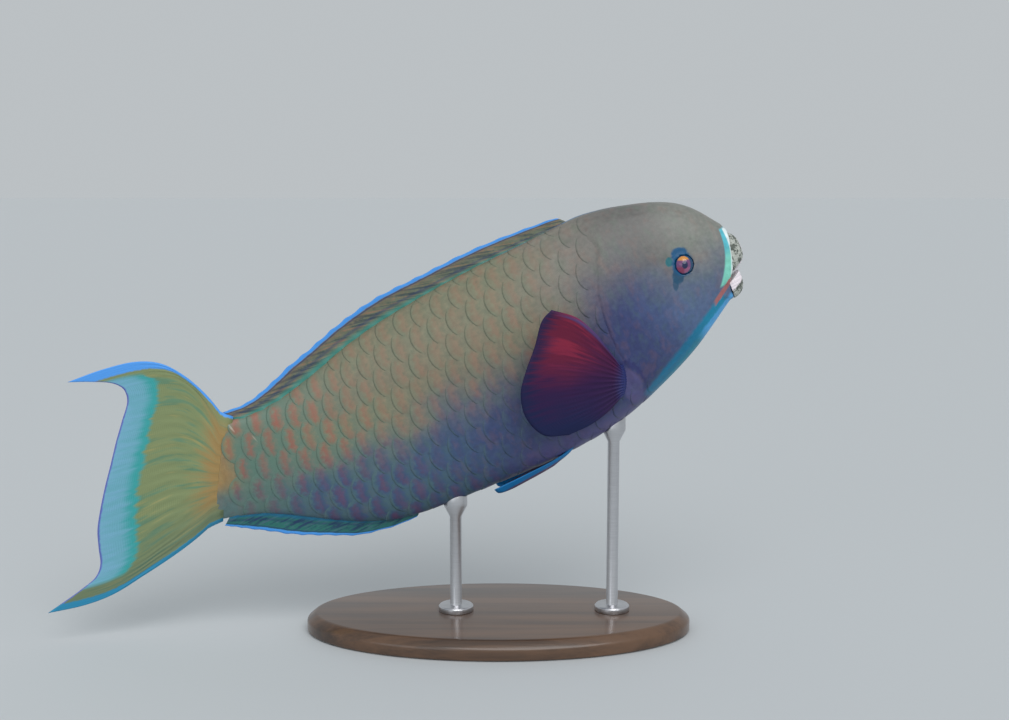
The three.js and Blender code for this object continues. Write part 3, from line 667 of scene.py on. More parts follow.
def make_skin():
    parts = [copy_of_node(node, f"skin_{node}") for node in ("head", "torso", "tail_stalk")]
    select_only(*parts)
    bpy.ops.object.join()
    skin = bpy.context.object
    remesh = skin.modifiers.new("remesh", "REMESH")
    remesh.mode = "VOXEL"
    remesh.voxel_size = SKIN_VOXEL
    smooth = skin.modifiers.new("smooth", "SMOOTH")
    smooth.factor = 0.5
    smooth.iterations = SKIN_SMOOTHING
    apply_all(skin)
    thin = skin.modifiers.new("thin", "DECIMATE")
    thin.ratio = min(1, SKIN_TRIANGLES / (2 * len(skin.data.polygons)))
    apply_all(skin)
    straight = unpose(points_of(skin))
    station, height = -straight[:, 0], straight[:, 2]
    over = height - FIN_ROOT["height"]
    ahead = station - FIN_ROOT["station"] - np.abs(over) * FIN_ROOT["lean"]
    swell = np.exp(-np.hypot(ahead / FIN_ROOT["half"], over / FIN_ROOT["tall"]) ** 2)
    relief = FIN_ROOT["rise"] * swell * smooth_step(20, 30, np.abs(straight[:, 1]))
    relief -= SCALE_ROOM * smooth_step(*SCALED_FROM, station)
    set_points(skin, points_of(skin) + normals_of(skin) * relief[:, None] * MM)
    keep_values(skin, "fish", straight)
    top, low = back_at(station), belly_at(station)
    up = (2 * height - top - low) / (top - low)
    turn = np.arctan2(up, np.abs(straight[:, 1]) / (half_width_at(station) + 1)) / math.pi
    keep_uv(skin, station / SPINE_END, 0.5 + np.sign(straight[:, 1]) * (0.25 + turn * 0.48))
    return skin


finish_piece(make_skin(), "skin", skin_material(), ["head", "torso", "tail_stalk"])

# %% [markdown]
# ## Scales
# A parrotfish has few, big scales, laid like roof tiles: the front of each is buried, and its rounded rear
# edge stands up over the next. One scale is modelled from a grid, then it is copied along staggered rows.
# A copy is wrapped round the body by station and by the distance round the flank, so it never stretches.

# %% One scale
SCALE_LENGTH = 33
SCALE_HALF = 18.4
SCALE_THICK = 0.22
ROW_PITCH = 19.4
SCALE_PITCH = 17.3
CELLS_LONG = 9
CELLS_WIDE = 14


def grid_slab(columns, rows):
    """A flat grid drawn out into a slab: x and y from -1 to 1, z from 0 to 1."""
    bpy.ops.object.select_all(action="DESELECT")
    bpy.ops.mesh.primitive_grid_add(x_subdivisions=columns, y_subdivisions=rows, size=2)
    slab = bpy.context.object
    with editing(slab):
        bpy.ops.mesh.extrude_region_move(TRANSFORM_OT_translate={"value": (0, 0, 1)})
    return slab


def model_scale():
    """A thin plate: x from 0, buried, to 1, the rear edge; y from -1 to 1; z is 0 under and 1 over."""
    plate = grid_slab(CELLS_LONG, CELLS_WIDE)
    with editing(plate):
        bpy.ops.mesh.normals_make_consistent(inside=False)
    points = points_of(plate)
    u = 1 - (1 - (points[:, 0] + 1) / 2) ** 1.4
    v = np.sin(points[:, 1] * math.pi / 2)
    set_points(plate, np.stack([u, v, points[:, 2]], -1))
    return plate


def rounded(u, v):
    """Pulls the straight rear edge of the plate into a half circle."""
    return u * (1 - (1 - np.sqrt(np.maximum(0, 1 - v * v))) * SCALE_HALF / SCALE_LENGTH)


# %% [markdown]
# A table of the body's rings, walked from the widest point by their own length, turns a distance round the
# flank into a place on the body.

# %% Wrapping round the flank
ARC_STEP = 4.0
ARC_STATIONS = np.arange(60, 500, ARC_STEP)
ARC_LENGTHS = np.arange(-150, 151, 1.0)


def turns_by_arc():
    """The turn by station and distance round the flank, and how far round the two ridges lie."""
    turns = np.radians(np.arange(-130, 131, 1.0))
    table, ridges = [], []
    for station in ARC_STATIONS:
        ring = body_point(np.full_like(turns, station), turns, 1)
        steps = np.linalg.norm(np.diff(ring, axis=0), axis=1)
        arc = np.concatenate([[0], np.cumsum(steps)])
        arc -= np.interp(0, turns, arc)
        table.append(np.interp(ARC_LENGTHS, arc, turns))
        ridges.append(np.interp([-math.pi / 2, math.pi / 2], turns, arc))
    return np.array(table), np.array(ridges).T


arc_table, (belly_arcs, back_arcs) = turns_by_arc()


def wrapped_point(station, arc, side):
    row = np.clip((station - ARC_STATIONS[0]) / ARC_STEP, 0, len(ARC_STATIONS) - 1.001)
    column = np.clip(arc - ARC_LENGTHS[0], 0, len(ARC_LENGTHS) - 1.001)
    i, j = row.astype(int), column.astype(int)
    a, b = row - i, column - j
    turn = (arc_table[i, j] * (1 - a) + arc_table[i + 1, j] * a) * (1 - b)
    turn += (arc_table[i, j + 1] * (1 - a) + arc_table[i + 1, j + 1] * a) * b
    return body_point(station, turn, side)


def wrapped_normal(station, arc, side):
    along = wrapped_point(station + 2, arc, side) - wrapped_point(station - 2, arc, side)
    round_flank = wrapped_point(station, arc + 2, side) - wrapped_point(station, arc - 2, side)
    normal = np.cross(along, round_flank) * side
    return normal / np.linalg.norm(normal, axis=1, keepdims=True)


# %% [markdown]
# The rows keep their distance down the whole flank, as on the fish, and so the outer rows run out one by
# one under the back fin and above the belly as the body tapers. A scale is dropped where its middle would
# pass the ridge of the back or belly, or lie ahead of the gill cover, and a scale that reaches a ridge is
# cut short there. Its place in its row and the row give it a patch of its own in the UV map.

# %% Rows of scales
GILL_EDGE = [(-80, 90), (-66, 94), (-46, 113), (-14, 122), (10, 122), (52, 110), (66, 103), (115, 113)]
gill_edge_at = smooth_through(GILL_EDGE)
FIRST_SCALE = 112
LAST_SCALE = 476
REAR_SLANT = 0.25
SCALE_ROWS = 7
SCALE_COLUMNS = 22
ROW_OFFSET = 3
JITTER = 0.5
TO_MIDDLE = 8.0
GILL_LAP = 5
NEAR_RIDGE = 1.5
SCALE_RISE = (-0.5, 0.22)
SCALE_DOME = 0.25
RIDGE_GAP = 0.8
RIDGE_DIVE = 0.6
EDGE_THINNED = 0.14
REAR_SMALLER = 0.2
REAR_FLATTER = 0.15


def scale_places():
    random.seed(7)
    for row in range(-SCALE_ROWS, SCALE_ROWS + 1):
        for column in range(SCALE_COLUMNS):
            start = FIRST_SCALE + SCALE_PITCH * (column + 0.5 * (row % 2))
            station = start + random.uniform(-JITTER, JITTER)
            arc = row * ROW_PITCH + ROW_OFFSET + random.uniform(-JITTER, JITTER)
            middle = wrapped_point(np.array([station - TO_MIDDLE]), np.array([arc]), 1)[0]
            behind_gill = station - GILL_LAP >= gill_edge_at(middle[2])
            if station <= LAST_SCALE - abs(arc) * REAR_SLANT and middle[1] > NEAR_RIDGE and behind_gill:
                yield row, column, station, arc, random.random()


def make_scales(name, side):
    plate = model_scale()
    points = points_of(plate)
    faces_of_one = [list(face.vertices)[::side] for face in plate.data.polygons]
    bpy.data.objects.remove(plate)
    u, v, layer = points.T
    across, down = 1 / SCALE_COLUMNS, 1 / (2 * SCALE_ROWS + 1)
    vertices, faces, inside, marks, patches = [], [], [], [], []
    for row, column, station, arc, chance in scale_places():
        small = 1 - REAR_SMALLER * smooth_step(440, LAST_SCALE, station)
        along = station + (rounded(u, v) - 1) * SCALE_LENGTH * small
        low_ridge = np.interp(along, ARC_STATIONS, belly_arcs) + RIDGE_GAP
        high_ridge = np.interp(along, ARC_STATIONS, back_arcs) - RIDGE_GAP
        around = np.clip(arc + v * SCALE_HALF * small, low_ridge, high_ridge)
        room = np.minimum(around - low_ridge, high_ridge - around)
        high = SCALE_RISE[1] - REAR_FLATTER * smooth_step(425, LAST_SCALE, station)
        rise = SCALE_RISE[0] + (high - SCALE_RISE[0]) * rounded(u, v) - SCALE_DOME * v * v
        rise += (layer - 1) * SCALE_THICK - EDGE_THINNED * layer * smooth_step(0.85, 1, u)
        rise -= RIDGE_DIVE * (1 - smooth_step(0, 3, room))
        flank = wrapped_point(along, around, side)
        start = len(vertices) * len(points)
        faces += [[corner + start for corner in face] for face in faces_of_one]
        vertices.append(flank + wrapped_normal(along, around, side) * rise[:, None])
        inside.append(np.stack([u, v, np.full_like(u, chance)], -1))
        marks.append(flank)
        patch = [(column + 0.05 + 0.9 * u) * across, (row + SCALE_ROWS + 0.5 + 0.45 * v) * down]
        patches.append(np.stack(patch, -1))
    mesh = bpy.data.meshes.new(name)
    mesh.from_pydata(pose(np.vstack(vertices)).tolist(), [], faces)
    scales = bpy.data.objects.new(name, mesh)
    bpy.context.scene.collection.objects.link(scales)
    keep_values(scales, "fish", np.vstack(marks))
    keep_values(scales, "scale", np.vstack(inside))
    keep_uv(scales, *np.vstack(patches).T)
    print(f"{name}: {len(vertices)} scales")
    return scales


# %% [markdown]
# Each scale carries an upright salmon bar with green between the bars. The bars are faint and warm on the
# shoulder, turn salmon red towards the tail and plum on the low flank. The rim is a little greener, and
# fine growth rings and rays are left to a bump.

# %% Scale material
BAR_SALMON = (0.34, 0.15, 0.1)
BAR_RED = (0.33, 0.1, 0.07)
BAR_PLUM = (0.19, 0.045, 0.095)
BETWEEN_GREEN = (0.1, 0.2, 0.155)
RIM_GREEN = (0.12, 0.2, 0.15)


def scale_material():
    sheet = Sheet("parrotfish_scales")
    station, height, speck, fish = flesh_colour(sheet)
    inside, u, v, chance = sheet.value("scale")
    rear = (station + height * -0.8).step(270, 400)
    low = (height + speck * 10).step(2, -26)
    ragged = u - v * v * 0.12 + speck * 0.3 + (chance - 0.5) * 0.06
    shorter = 1 + (chance - 0.5) * 0.35
    bar = ragged.band(0.7, 0.83, 0.085) * (abs(v) * shorter + speck * 0.6).step(0.72, 0.34)
    strength = station.step(115, 190) * ((1 - low) * 0.3 + rear * 0.42) * (0.6 + chance * 0.6)
    gap = ragged.step(0.7, 0.5) + ragged.step(0.86, 0.96) + (abs(v) + speck * 0.4).step(0.4, 0.8)
    green = gap.under(1) * (rear * 0.6 + 0.12) * (1 - low * 0.45) * station.step(130, 200)
    sheet.coat(green, BETWEEN_GREEN)
    sheet.coat(bar * strength, sheet.mix(low, sheet.mix(rear, BAR_SALMON, BAR_RED), BAR_PLUM))
    sheet.coat(u.step(0.94, 0.99) * 0.14, RIM_GREEN)
    rings = (u * 30 + abs(v) * abs(v) * 6).wave()
    rays = (v * 16 / (0.4 + u)).wave()
    normal = sheet.bump(rings * 0.6 + rays * 0.4, 0.14, 0.0004)
    return sheet.shine(Roughness=0.42 + speck * 0.2, Normal=normal, Coat_Weight=0.14, Coat_Roughness=0.28,
                       Specular_IOR_Level=0.35)


scale_skin = scale_material()
SIDES = (("right", -1), ("left", 1))
for side_name, side in SIDES:
    name = f"scales_{side_name}"
    finish_piece(make_scales(name, side), name, scale_skin, ["torso", "tail_stalk"])

# %% [markdown]
# ## Fins
# A fin is a skin stretched over rays. A flat grid is extruded into a slab, and its vertices are moved to
# the fin: u counts from the first ray to the last, v from the root to the tip. The slab is thin between
# the rays and swells over each, and soft rays fork twice on their way out, as real ones do.

# %% Fin slab
MEMBRANE = 0.32


def ray_relief(u, v, rays, first_fork, second_fork):
    """0 on the membrane, 1 on a ray, which forks at two shares of its length."""

    def ridge(times):
        return ((1 - np.cos(2 * np.pi * u * rays * times)) / 2) ** 1.6

    once = smooth_step(first_fork - 0.1, first_fork + 0.1, v)
    twice = smooth_step(second_fork - 0.1, second_fork + 0.1, v)
    return ridge(1) * (1 - once) + 0.8 * ridge(2) * once * (1 - twice) + 0.6 * ridge(4) * twice


def make_fin(columns, rows, shape, facing=(0, 1, 0)):
    """shape(u, v) gives the straight fin's middle surface and its half thickness."""
    fin = grid_slab(columns, rows)
    points = points_of(fin)
    u, v, face = (points[:, 0] + 1) / 2, (points[:, 1] + 1) / 2, points[:, 2] * 2 - 1
    middle, half = shape(u, v)
    straight = middle + (face * half)[:, None] * np.array(facing)
    set_points(fin, pose(straight))
    face_outwards(fin)
    keep_values(fin, "fin", np.stack([u, v, face], -1))
    keep_values(fin, "fish", straight)
    return fin


# %% [markdown]
# ## Back fin and belly fin
# The back fin is low and even, nine spines and ten soft rays that lean back. Its skin dips a little
# between the tips of the spines. The belly fin is its echo below, shorter and deeper.

# %% Midline fins
DORSAL = {
    "base": (116, 450), "rays": 19, "spines": 9, "lean": 22,
    "height": [(116, 2.5), (126, 6), (146, 9), (176, 12), (200, 13.6), (250, 15.6), (296, 18.4),
               (330, 18.6), (388, 18.6), (410, 15.6), (430, 11), (445, 8.6), (458, 7)],
}
ANAL = {
    "base": (327, 468), "rays": 12, "spines": 3, "lean": 14,
    "height": [(327, 1.5), (344, 4.5), (361, 8.4), (379, 13), (400, 15), (424, 17.4), (440, 16),
               (455, 12.4), (482, 3.5)],
}
ROOT_DEPTH = 3
PAST_THE_TIP = (8, 9)


def midline_shape(fin, edge_at, up):
    height_at = smooth_through(fin["height"])
    start, end = fin["base"]

    def shape(u, v):
        foot = start + (end - start) * u
        slant = fin["lean"] * (0.35 + 0.65 * smooth_step(0, 0.3, u)) * (1 - 0.55 * smooth_step(0.8, 1, u))
        station = foot + slant * v
        ray = ray_relief(u, v, fin["rays"], 0.45, 0.78)
        spine_ray = ray_relief(u, v, fin["rays"], *PAST_THE_TIP)
        soft = smooth_step(-0.01, 0.01, u - fin["spines"] / fin["rays"])
        ray = spine_ray * (1 - soft) + ray * soft
        tip = 1 - 0.04 * (1 - spine_ray) * smooth_step(0.7, 1, v)
        rise = -ROOT_DEPTH + (height_at(foot + slant) + ROOT_DEPTH) * v * tip
        half = MEMBRANE + ray * 0.85 * (1 - 0.65 * v) + 1.1 * (1 - v) ** 3
        half = half * (1 - 0.45 * v)
        sway = 0.9 * np.sin(u * 9) * v * v
        return np.stack([-station, sway, edge_at(station) + up * rise], -1), half

    return shape


# %% [markdown]
# Colour follows the fin's own u and v. The back fin is gold with dark slanting rays, a teal line along its
# root and a bright blue margin. The belly fin is teal and green with the same blue margin. Rays are
# jointed, and that is small enough for a bump.

# %% Midline fin materials
MARGIN_BLUE = (0.06, 0.3, 0.78)
MARGIN_DARK = (0.01, 0.03, 0.12)


def fin_places(sheet, grain):
    """What a fin's colours read: u, v, the place on the fish, and a speckle."""
    u, v = sheet.value("fin")[1:3]
    fish = sheet.value("fish")[0]
    return u, v, fish, sheet.noise(fish, grain) - 0.5


def ray_joints(u, v, rays, rows):
    return (v * rows).wave() * (u * rays).wave()


def striped_fin(name, fin_sizes, colours, root_width, margin_width, top_tint):
    membrane, ray_dark, ray_light, root = colours
    sheet = Sheet(name)
    u, v, fish, speck = fin_places(sheet, 0.3)
    streaks = sheet.streaks((u - v * 0.11) * fin_sizes["rays"] * 3.2, v * 1.2)
    sheet.colour = sheet.mix((streaks + speck * 0.2).step(0.4, 0.5), ray_dark, membrane)
    sheet.coat((streaks + speck * 0.3).step(0.54, 0.64) * 0.75, ray_light)
    sheet.coat((v + speck * 0.2).step(0.5, 0.8) * 0.35, top_tint)
    rooted = (v + speck * 0.1) * (1.25 - u * 0.6)
    sheet.coat(rooted.band(root_width, root_width + 0.1, 0.05) * 0.45, MARGIN_DARK)
    sheet.coat(rooted.step(root_width, root_width * 0.4) * 0.9, root)
    edge = v + speck * 0.03
    sheet.coat(edge.band(1 - margin_width * 1.3, 1 - margin_width, 0.02) * 0.7, MARGIN_DARK)
    sheet.coat(edge.step(1 - margin_width, 1 - margin_width * 0.75), MARGIN_BLUE)
    relief = ray_joints(u, v, fin_sizes["rays"], 34) * 0.5 + sheet.noise(fish, 1.2) * 0.5
    normal = sheet.bump(relief, 0.25, 0.0005)
    return sheet.shine(Roughness=0.45 + speck * 0.2, Normal=normal, Coat_Weight=0.1,
                       Specular_IOR_Level=0.35)


GOLD = (0.13, 0.15, 0.1)
GOLD_DARK = (0.055, 0.075, 0.075)
GOLD_LIGHT = (0.27, 0.16, 0.1)
ROOT_TEAL = (0.04, 0.24, 0.2)
ANAL_GREEN = (0.02, 0.15, 0.13)
ANAL_DARK = (0.012, 0.05, 0.11)
ANAL_LIGHT = (0.07, 0.13, 0.2)
ANAL_ROOT = (0.006, 0.15, 0.28)

MIDLINE_FINS = (
    ("dorsal", DORSAL, back_at, 1, (GOLD, GOLD_DARK, GOLD_LIGHT, ROOT_TEAL), 0.32, 0.19, GOLD_LIGHT, "gold"),
    ("anal", ANAL, belly_at, -1, (ANAL_GREEN, ANAL_DARK, ANAL_LIGHT, ANAL_ROOT), 0.3, 0.17, ANAL_GREEN,
     "green"),
)
for name, sizes, edge_at, up, colours, root_width, margin_width, top_tint, shade in MIDLINE_FINS:
    fin = make_fin(sizes["rays"] * 9, 14, midline_shape(sizes, edge_at, up))
    paint = striped_fin(f"{name}_{shade}", sizes, colours, root_width, margin_width, top_tint)
    finish_piece(fin, f"{name}_fin_rayed", paint, [f"{name}_fin"])

# %% [markdown]
# ## Tail fin
# Thirteen rays fan out from a fleshy root into two long lobes. It is one piece here, as on the fish. Its
# colours run across it: orange root, olive rays, a wide turquoise band and a violet hem, between a bright
# blue upper edge and a darker blue lower one.

# %% Tail fin
CAUDAL_ROOT = [(458.5, 43.6), (466, 22), (472, 0), (477.5, -22), (482, -45.4)]
CAUDAL_TOP = [
    (458.5, 43.6), (471.5, 66), (487, 84.5), (505, 98), (524, 102.4), (550, 100.2), (580, 93.5),
]
CAUDAL_REAR = [
    (580, 93.5), (562, 91), (545, 87), (537.5, 81), (536, 71), (543, 54), (550, 38), (557, 20),
    (565, 0), (572, -20), (576.5, -36), (578, -52), (579, -67), (584, -77), (597, -86), (627, -102),
]
CAUDAL_LOW = [
    (482, -45.4), (499, -57.6), (520, -70), (545, -82.6), (572, -95), (596, -100.4), (627, -102),
]
CAUDAL_RAYS = 13
CAUDAL_SINK = 7
CAUDAL_FLESH = 5.9


def caudal_shape(u, v):
    flat = patch_between(CAUDAL_ROOT, CAUDAL_REAR, CAUDAL_TOP, CAUDAL_LOW)(u, v)
    station, height = flat[:, 0], flat[:, 1]
    station = station - CAUDAL_SINK * (1 - smooth_step(0, 0.04, v))
    ray = ray_relief(u, v, CAUDAL_RAYS, 0.38, 0.66)
    arch = np.sqrt(np.clip(4 * u * (1 - u), 0, 1))
    flesh = (1 - smooth_step(0, 0.36, v)) * CAUDAL_FLESH * arch
    half = np.maximum(MEMBRANE + ray * 0.95 * (1 - 0.72 * v), flesh + ray * 0.25)
    ripple = 0.7 * np.sin(u * 9) * v ** 2
    return np.stack([-station, ripple, height], -1), half * (1 - 0.3 * v)


CAUDAL_OLIVE = (0.225, 0.275, 0.125)
CAUDAL_GREEN = (0.11, 0.24, 0.15)
CAUDAL_GOLD = (0.36, 0.33, 0.13)
CAUDAL_DARK = (0.09, 0.14, 0.1)
CAUDAL_TURQUOISE = (0.04, 0.36, 0.36)
CAUDAL_SKY = (0.15, 0.41, 0.51)
CAUDAL_PALE = (0.2, 0.44, 0.62)
CAUDAL_UPPER = (0.09, 0.36, 0.9)
CAUDAL_LOWER = (0.02, 0.24, 0.42)
CAUDAL_HEM = (0.12, 0.16, 0.5)


def caudal_material():
    sheet = Sheet("caudal_bands")
    u, v, fish, speck = fin_places(sheet, 0.25)
    streak = sheet.streaks(u * 52, v * 2.4) - 0.5
    broad = sheet.streaks(u * 14, v * 2) - 0.5
    sheet.colour = sheet.mix((streak + broad * 0.8).step(0.02, 0.22) * 0.8, CAUDAL_OLIVE, CAUDAL_GREEN)
    sheet.coat((streak - broad * 0.5).step(-0.08, -0.24) * 0.7, CAUDAL_GOLD)
    sheet.coat((u + streak * 0.2).step(0.62, 0.95) * 0.55, CAUDAL_DARK)
    rooted = (v + streak * 0.4 + broad * 0.5).step(0.34, 0.02) * u.band(0.1, 0.8, 0.1)
    sheet.coat(rooted * 0.85, TAIL_ORANGE)
    reach = v + streak * 0.14 + broad * 0.06
    banded = u.band(0.115, 0.865, 0.025)
    sheet.coat(reach.step(0.71, 0.76) * banded, CAUDAL_TURQUOISE)
    sheet.coat(reach.step(0.76, 0.86) * banded, CAUDAL_SKY)
    sheet.coat((reach + streak * 0.5).step(0.84, 1.0) * banded * 0.6, CAUDAL_PALE)
    sheet.coat((v + speck * 0.02).step(0.98, 0.992), CAUDAL_HEM)
    upper_edge = u + speck * 0.02 - v.step(0, 0.45) * 0.055
    sheet.coat(upper_edge.step(0.03, 0.015), CAUDAL_UPPER)
    sheet.coat((u + speck * 0.02).step(0.945, 0.96), CAUDAL_LOWER)
    relief = ray_joints(u, v, CAUDAL_RAYS, 60) * 0.4 + streak * 1.2 + sheet.noise(fish, 1.0) * 0.4
    normal = sheet.bump(relief, 0.3, 0.0006)
    return sheet.shine(Roughness=0.45 + speck * 0.2, Normal=normal, Coat_Weight=0.1,
                       Specular_IOR_Level=0.35)


caudal = make_fin(CAUDAL_RAYS * 12, 44, caudal_shape)
finish_piece(caudal, "caudal_fin_rayed", caudal_material(),
             ["caudal_fin_upper", "caudal_fin_lower"])

# %% [markdown]
# ## Pectoral fins
# A parrotfish rows with these. Each is a fan on a fleshy stalk, half open, standing off the flank. It is
# crimson along the front rays, violet to navy below and behind, with a blue leading edge.

# %% Pectoral fins
PECTORAL_ROOT = [(125, -29), (126, -37), (129, -46), (134, -54)]
PECTORAL_LEAD = [(125, -29), (129, -11), (134, 7.5), (142, 24.5), (158, 39.5)]
PECTORAL_TIPS = [
    (158, 39.5), (168, 35), (182, 18), (197, 2), (208, -13), (212, -33), (205, -53), (187, -63),
]
PECTORAL_LAST = [(134, -54), (148, -60), (166, -63.5), (187, -63)]
PECTORAL_RAYS = 13
PECTORAL_SUNK = 6
SUNK_SHARE = 0.1
PECTORAL_SPREAD = (0.42, 0.3)


def pectoral_shape(side):
    root = path_through(PECTORAL_ROOT)
    patch = patch_between(PECTORAL_ROOT, PECTORAL_TIPS, PECTORAL_LEAD, PECTORAL_LAST)
    first, last = PECTORAL_SPREAD

    def shape(u, along):
        v = np.clip((along - SUNK_SHARE) / (1 - SUNK_SHARE), 0, 1)
        sunk = PECTORAL_SUNK * np.maximum(0, 1 - along / SUNK_SHARE)
        flat = patch(u, v)
        foot = root(u)
        gone = np.hypot(flat[:, 0] - foot[:, 0], flat[:, 1] - foot[:, 1])
        out = flank_at(foot[:, 0], foot[:, 1]) + (first + (last - first) * u) * gone + 0.8
        cup = 2.6 * np.sin(np.pi * u) * v * v
        ray = ray_relief(u, v, PECTORAL_RAYS, 0.42, 0.7)
        half = MEMBRANE + ray * 0.62 * (1 - 0.6 * v) + 2.3 * (1 - smooth_step(0, 0.2, v))
        out = side * (out - sunk + cup)
        return np.stack([sunk * 0.6 - flat[:, 0], out, flat[:, 1]], -1), half * (1 - 0.3 * v)

    return shape


PECTORAL_RED = (0.15, 0.014, 0.044)
PECTORAL_BRIGHT = (0.26, 0.021, 0.054)
PECTORAL_VIOLET = (0.034, 0.01, 0.06)
PECTORAL_NAVY = (0.01, 0.015, 0.065)
PECTORAL_EDGE = (0.1, 0.1, 0.3)
PECTORAL_STALK = (0.03, 0.04, 0.16)


def pectoral_material():
    sheet = Sheet("pectoral_crimson")
    u, v, fish, speck = fin_places(sheet, 0.25)
    streak = sheet.streaks(u * 45, v * 2) - 0.5
    broad = sheet.streaks(u * 9, v * 2) - 0.5
    sheet.colour = sheet.mix((streak + broad).step(-0.05, 0.2), PECTORAL_RED, PECTORAL_BRIGHT)
    sheet.coat((streak - broad * 0.5).step(-0.1, -0.25) * 0.7, PECTORAL_VIOLET)
    low = u + streak * 0.2 + broad * 0.3 + (0.6 - v).over(0) * 0.25
    sheet.coat(low.step(0.24, 0.6), PECTORAL_VIOLET)
    sheet.coat(low.step(0.52, 0.85), PECTORAL_NAVY)
    sheet.coat((v + streak * 0.4).step(0.84, 1.0) * 0.9, PECTORAL_NAVY)
    sheet.coat(u.step(0.045, 0.015) * (v + streak).step(1, 0.3), PECTORAL_EDGE)
    sheet.coat((v + streak * 0.3).step(0.75, 0.25) * 0.75, PECTORAL_VIOLET)
    sheet.coat((v + speck * 0.06).step(0.22, 0.08), PECTORAL_STALK)
    relief = ray_joints(u, v, PECTORAL_RAYS, 40) * 0.5 + sheet.noise(fish, 1.2) * 0.5
    normal = sheet.bump(relief, 0.25, 0.0005)
    return sheet.shine(Roughness=0.46 + speck * 0.2, Normal=normal, Coat_Weight=0.05,
                       Specular_IOR_Level=0.15)


pectoral_crimson = pectoral_material()
for side_name, side in SIDES:
    fin = make_fin(PECTORAL_RAYS * 10, 30, pectoral_shape(side))
    finish_piece(fin, f"pectoral_fin_{side_name}_rayed", pectoral_crimson,
                 [f"pectoral_fin_{side_name}"])

# %% [markdown]
# ## Pelvic fins
# The pair below the chest is folded back along the belly: a stiff blue spine in front and five soft rays
# with rosy skin between them.

# %% Pelvic fins
PELVIC_ROOT = [(184, 11.5, -80.5), (190, 9, -81.8), (197, 5.5, -82.6)]
PELVIC_OUTER = [(184, 11.5, -80.5), (208, 14, -83.6), (236, 15.5, -85), (264, 16, -86)]
PELVIC_TIPS = [(264, 16, -86), (262, 12.5, -90.5), (250, 9, -92.5), (236, 6, -91.4)]
PELVIC_INNER = [(197, 5.5, -82.6), (208, 5.6, -88.6), (222, 6, -90.6), (236, 6, -91.4)]
PELVIC_RAYS = 6
PELVIC_SINK = 3
PELVIC_FACE = (-0.42, 0.9)


def pelvic_shape(side):
    patch = patch_between(PELVIC_ROOT, PELVIC_TIPS, PELVIC_OUTER, PELVIC_INNER)

    def shape(u, v):
        flat = patch(u, v)
        ray = ray_relief(u, v, PELVIC_RAYS, 0.45, 0.75)
        half = MEMBRANE + ray * 0.45 * (1 - 0.6 * v) + 1.0 * (1 - smooth_step(0, 0.3, v))
        buried = PELVIC_SINK * (1 - smooth_step(0, 0.12, v))
        return np.stack([-flat[:, 0], side * flat[:, 1], flat[:, 2] + buried], -1), half

    return shape


PELVIC_BLUE = (0.0, 0.17, 0.44)
PELVIC_ROSE = (0.16, 0.09, 0.15)
PELVIC_RAY = (0.04, 0.06, 0.17)


def pelvic_material():
    sheet = Sheet("pelvic_blue")
    u, v, fish, speck = fin_places(sheet, 0.3)
    sheet.colour = sheet.mix((u * PELVIC_RAYS).wave().step(0.3, 0.8) * 0.7, PELVIC_ROSE, PELVIC_RAY)
    sheet.coat((u + speck * 0.05).step(0.3, 0.2), PELVIC_BLUE)
    sheet.coat((v + speck * 0.05).step(0.9, 0.97) * 0.7, PELVIC_BLUE)
    normal = sheet.bump(sheet.noise(fish, 1.2), 0.25, 0.0005)
    return sheet.shine(Roughness=0.4 + speck * 0.2, Normal=normal, Coat_Weight=0.15)


pelvic_blue = pelvic_material()
for side_name, side in SIDES:
    facing = (0, PELVIC_FACE[0] * side, PELVIC_FACE[1])
    fin = make_fin(PELVIC_RAYS * 8, 20, pelvic_shape(side), facing)
    finish_piece(fin, f"pelvic_fin_{side_name}_rayed", pelvic_blue,
                 [f"pelvic_fin_{side_name}"])

# %% [markdown]
# ## Eyes
# The eye is a ball sunk in its socket, with a low bulge for the lens. A ball with a high polish and a
# painted iris reads as a real one: a dark pupil, orange above it, magenta and pink below, and a dark blue
# ring round it all. The paint reads each vertex's place on the ball, turned level with the picture.

# %% Eyes
EYE_RADIUS = 9.1
EYE_SUNK = 5.6
IRIS = 7.0
PUPIL = 3.1
LENS_RISE = 0.5


def make_eye(side):
    flank = float(flank_at(np.array([EYE_STATION]), np.array([EYE_HEIGHT]))[0])
    bpy.ops.object.select_all(action="DESELECT")
    bpy.ops.mesh.primitive_uv_sphere_add(segments=64, ring_count=40, radius=EYE_RADIUS)
    eye = bpy.context.object
    ball = points_of(eye)[:, [1, 2, 0]]
    away = np.hypot(ball[:, 0], ball[:, 2])
    facing = side * ball[:, 1] > 0
    ball[:, 1] += side * LENS_RISE * np.where(facing, np.exp(-((away / PUPIL) ** 4)), 0)
    straight = ball + [-EYE_STATION, side * (flank - EYE_SUNK), EYE_HEIGHT]
    set_points(eye, pose(straight))
    face_outwards(eye)
    keep_values(eye, "eye", ball)
    return eye


IRIS_ORANGE = (0.66, 0.27, 0.05)
IRIS_VIOLET = (0.17, 0.06, 0.17)
IRIS_MAGENTA = (0.26, 0.035, 0.1)
IRIS_PINK = (0.34, 0.1, 0.21)
PUPIL_NAVY = (0.006, 0.015, 0.07)
EYE_RING = (0.0, 0.05, 0.13)


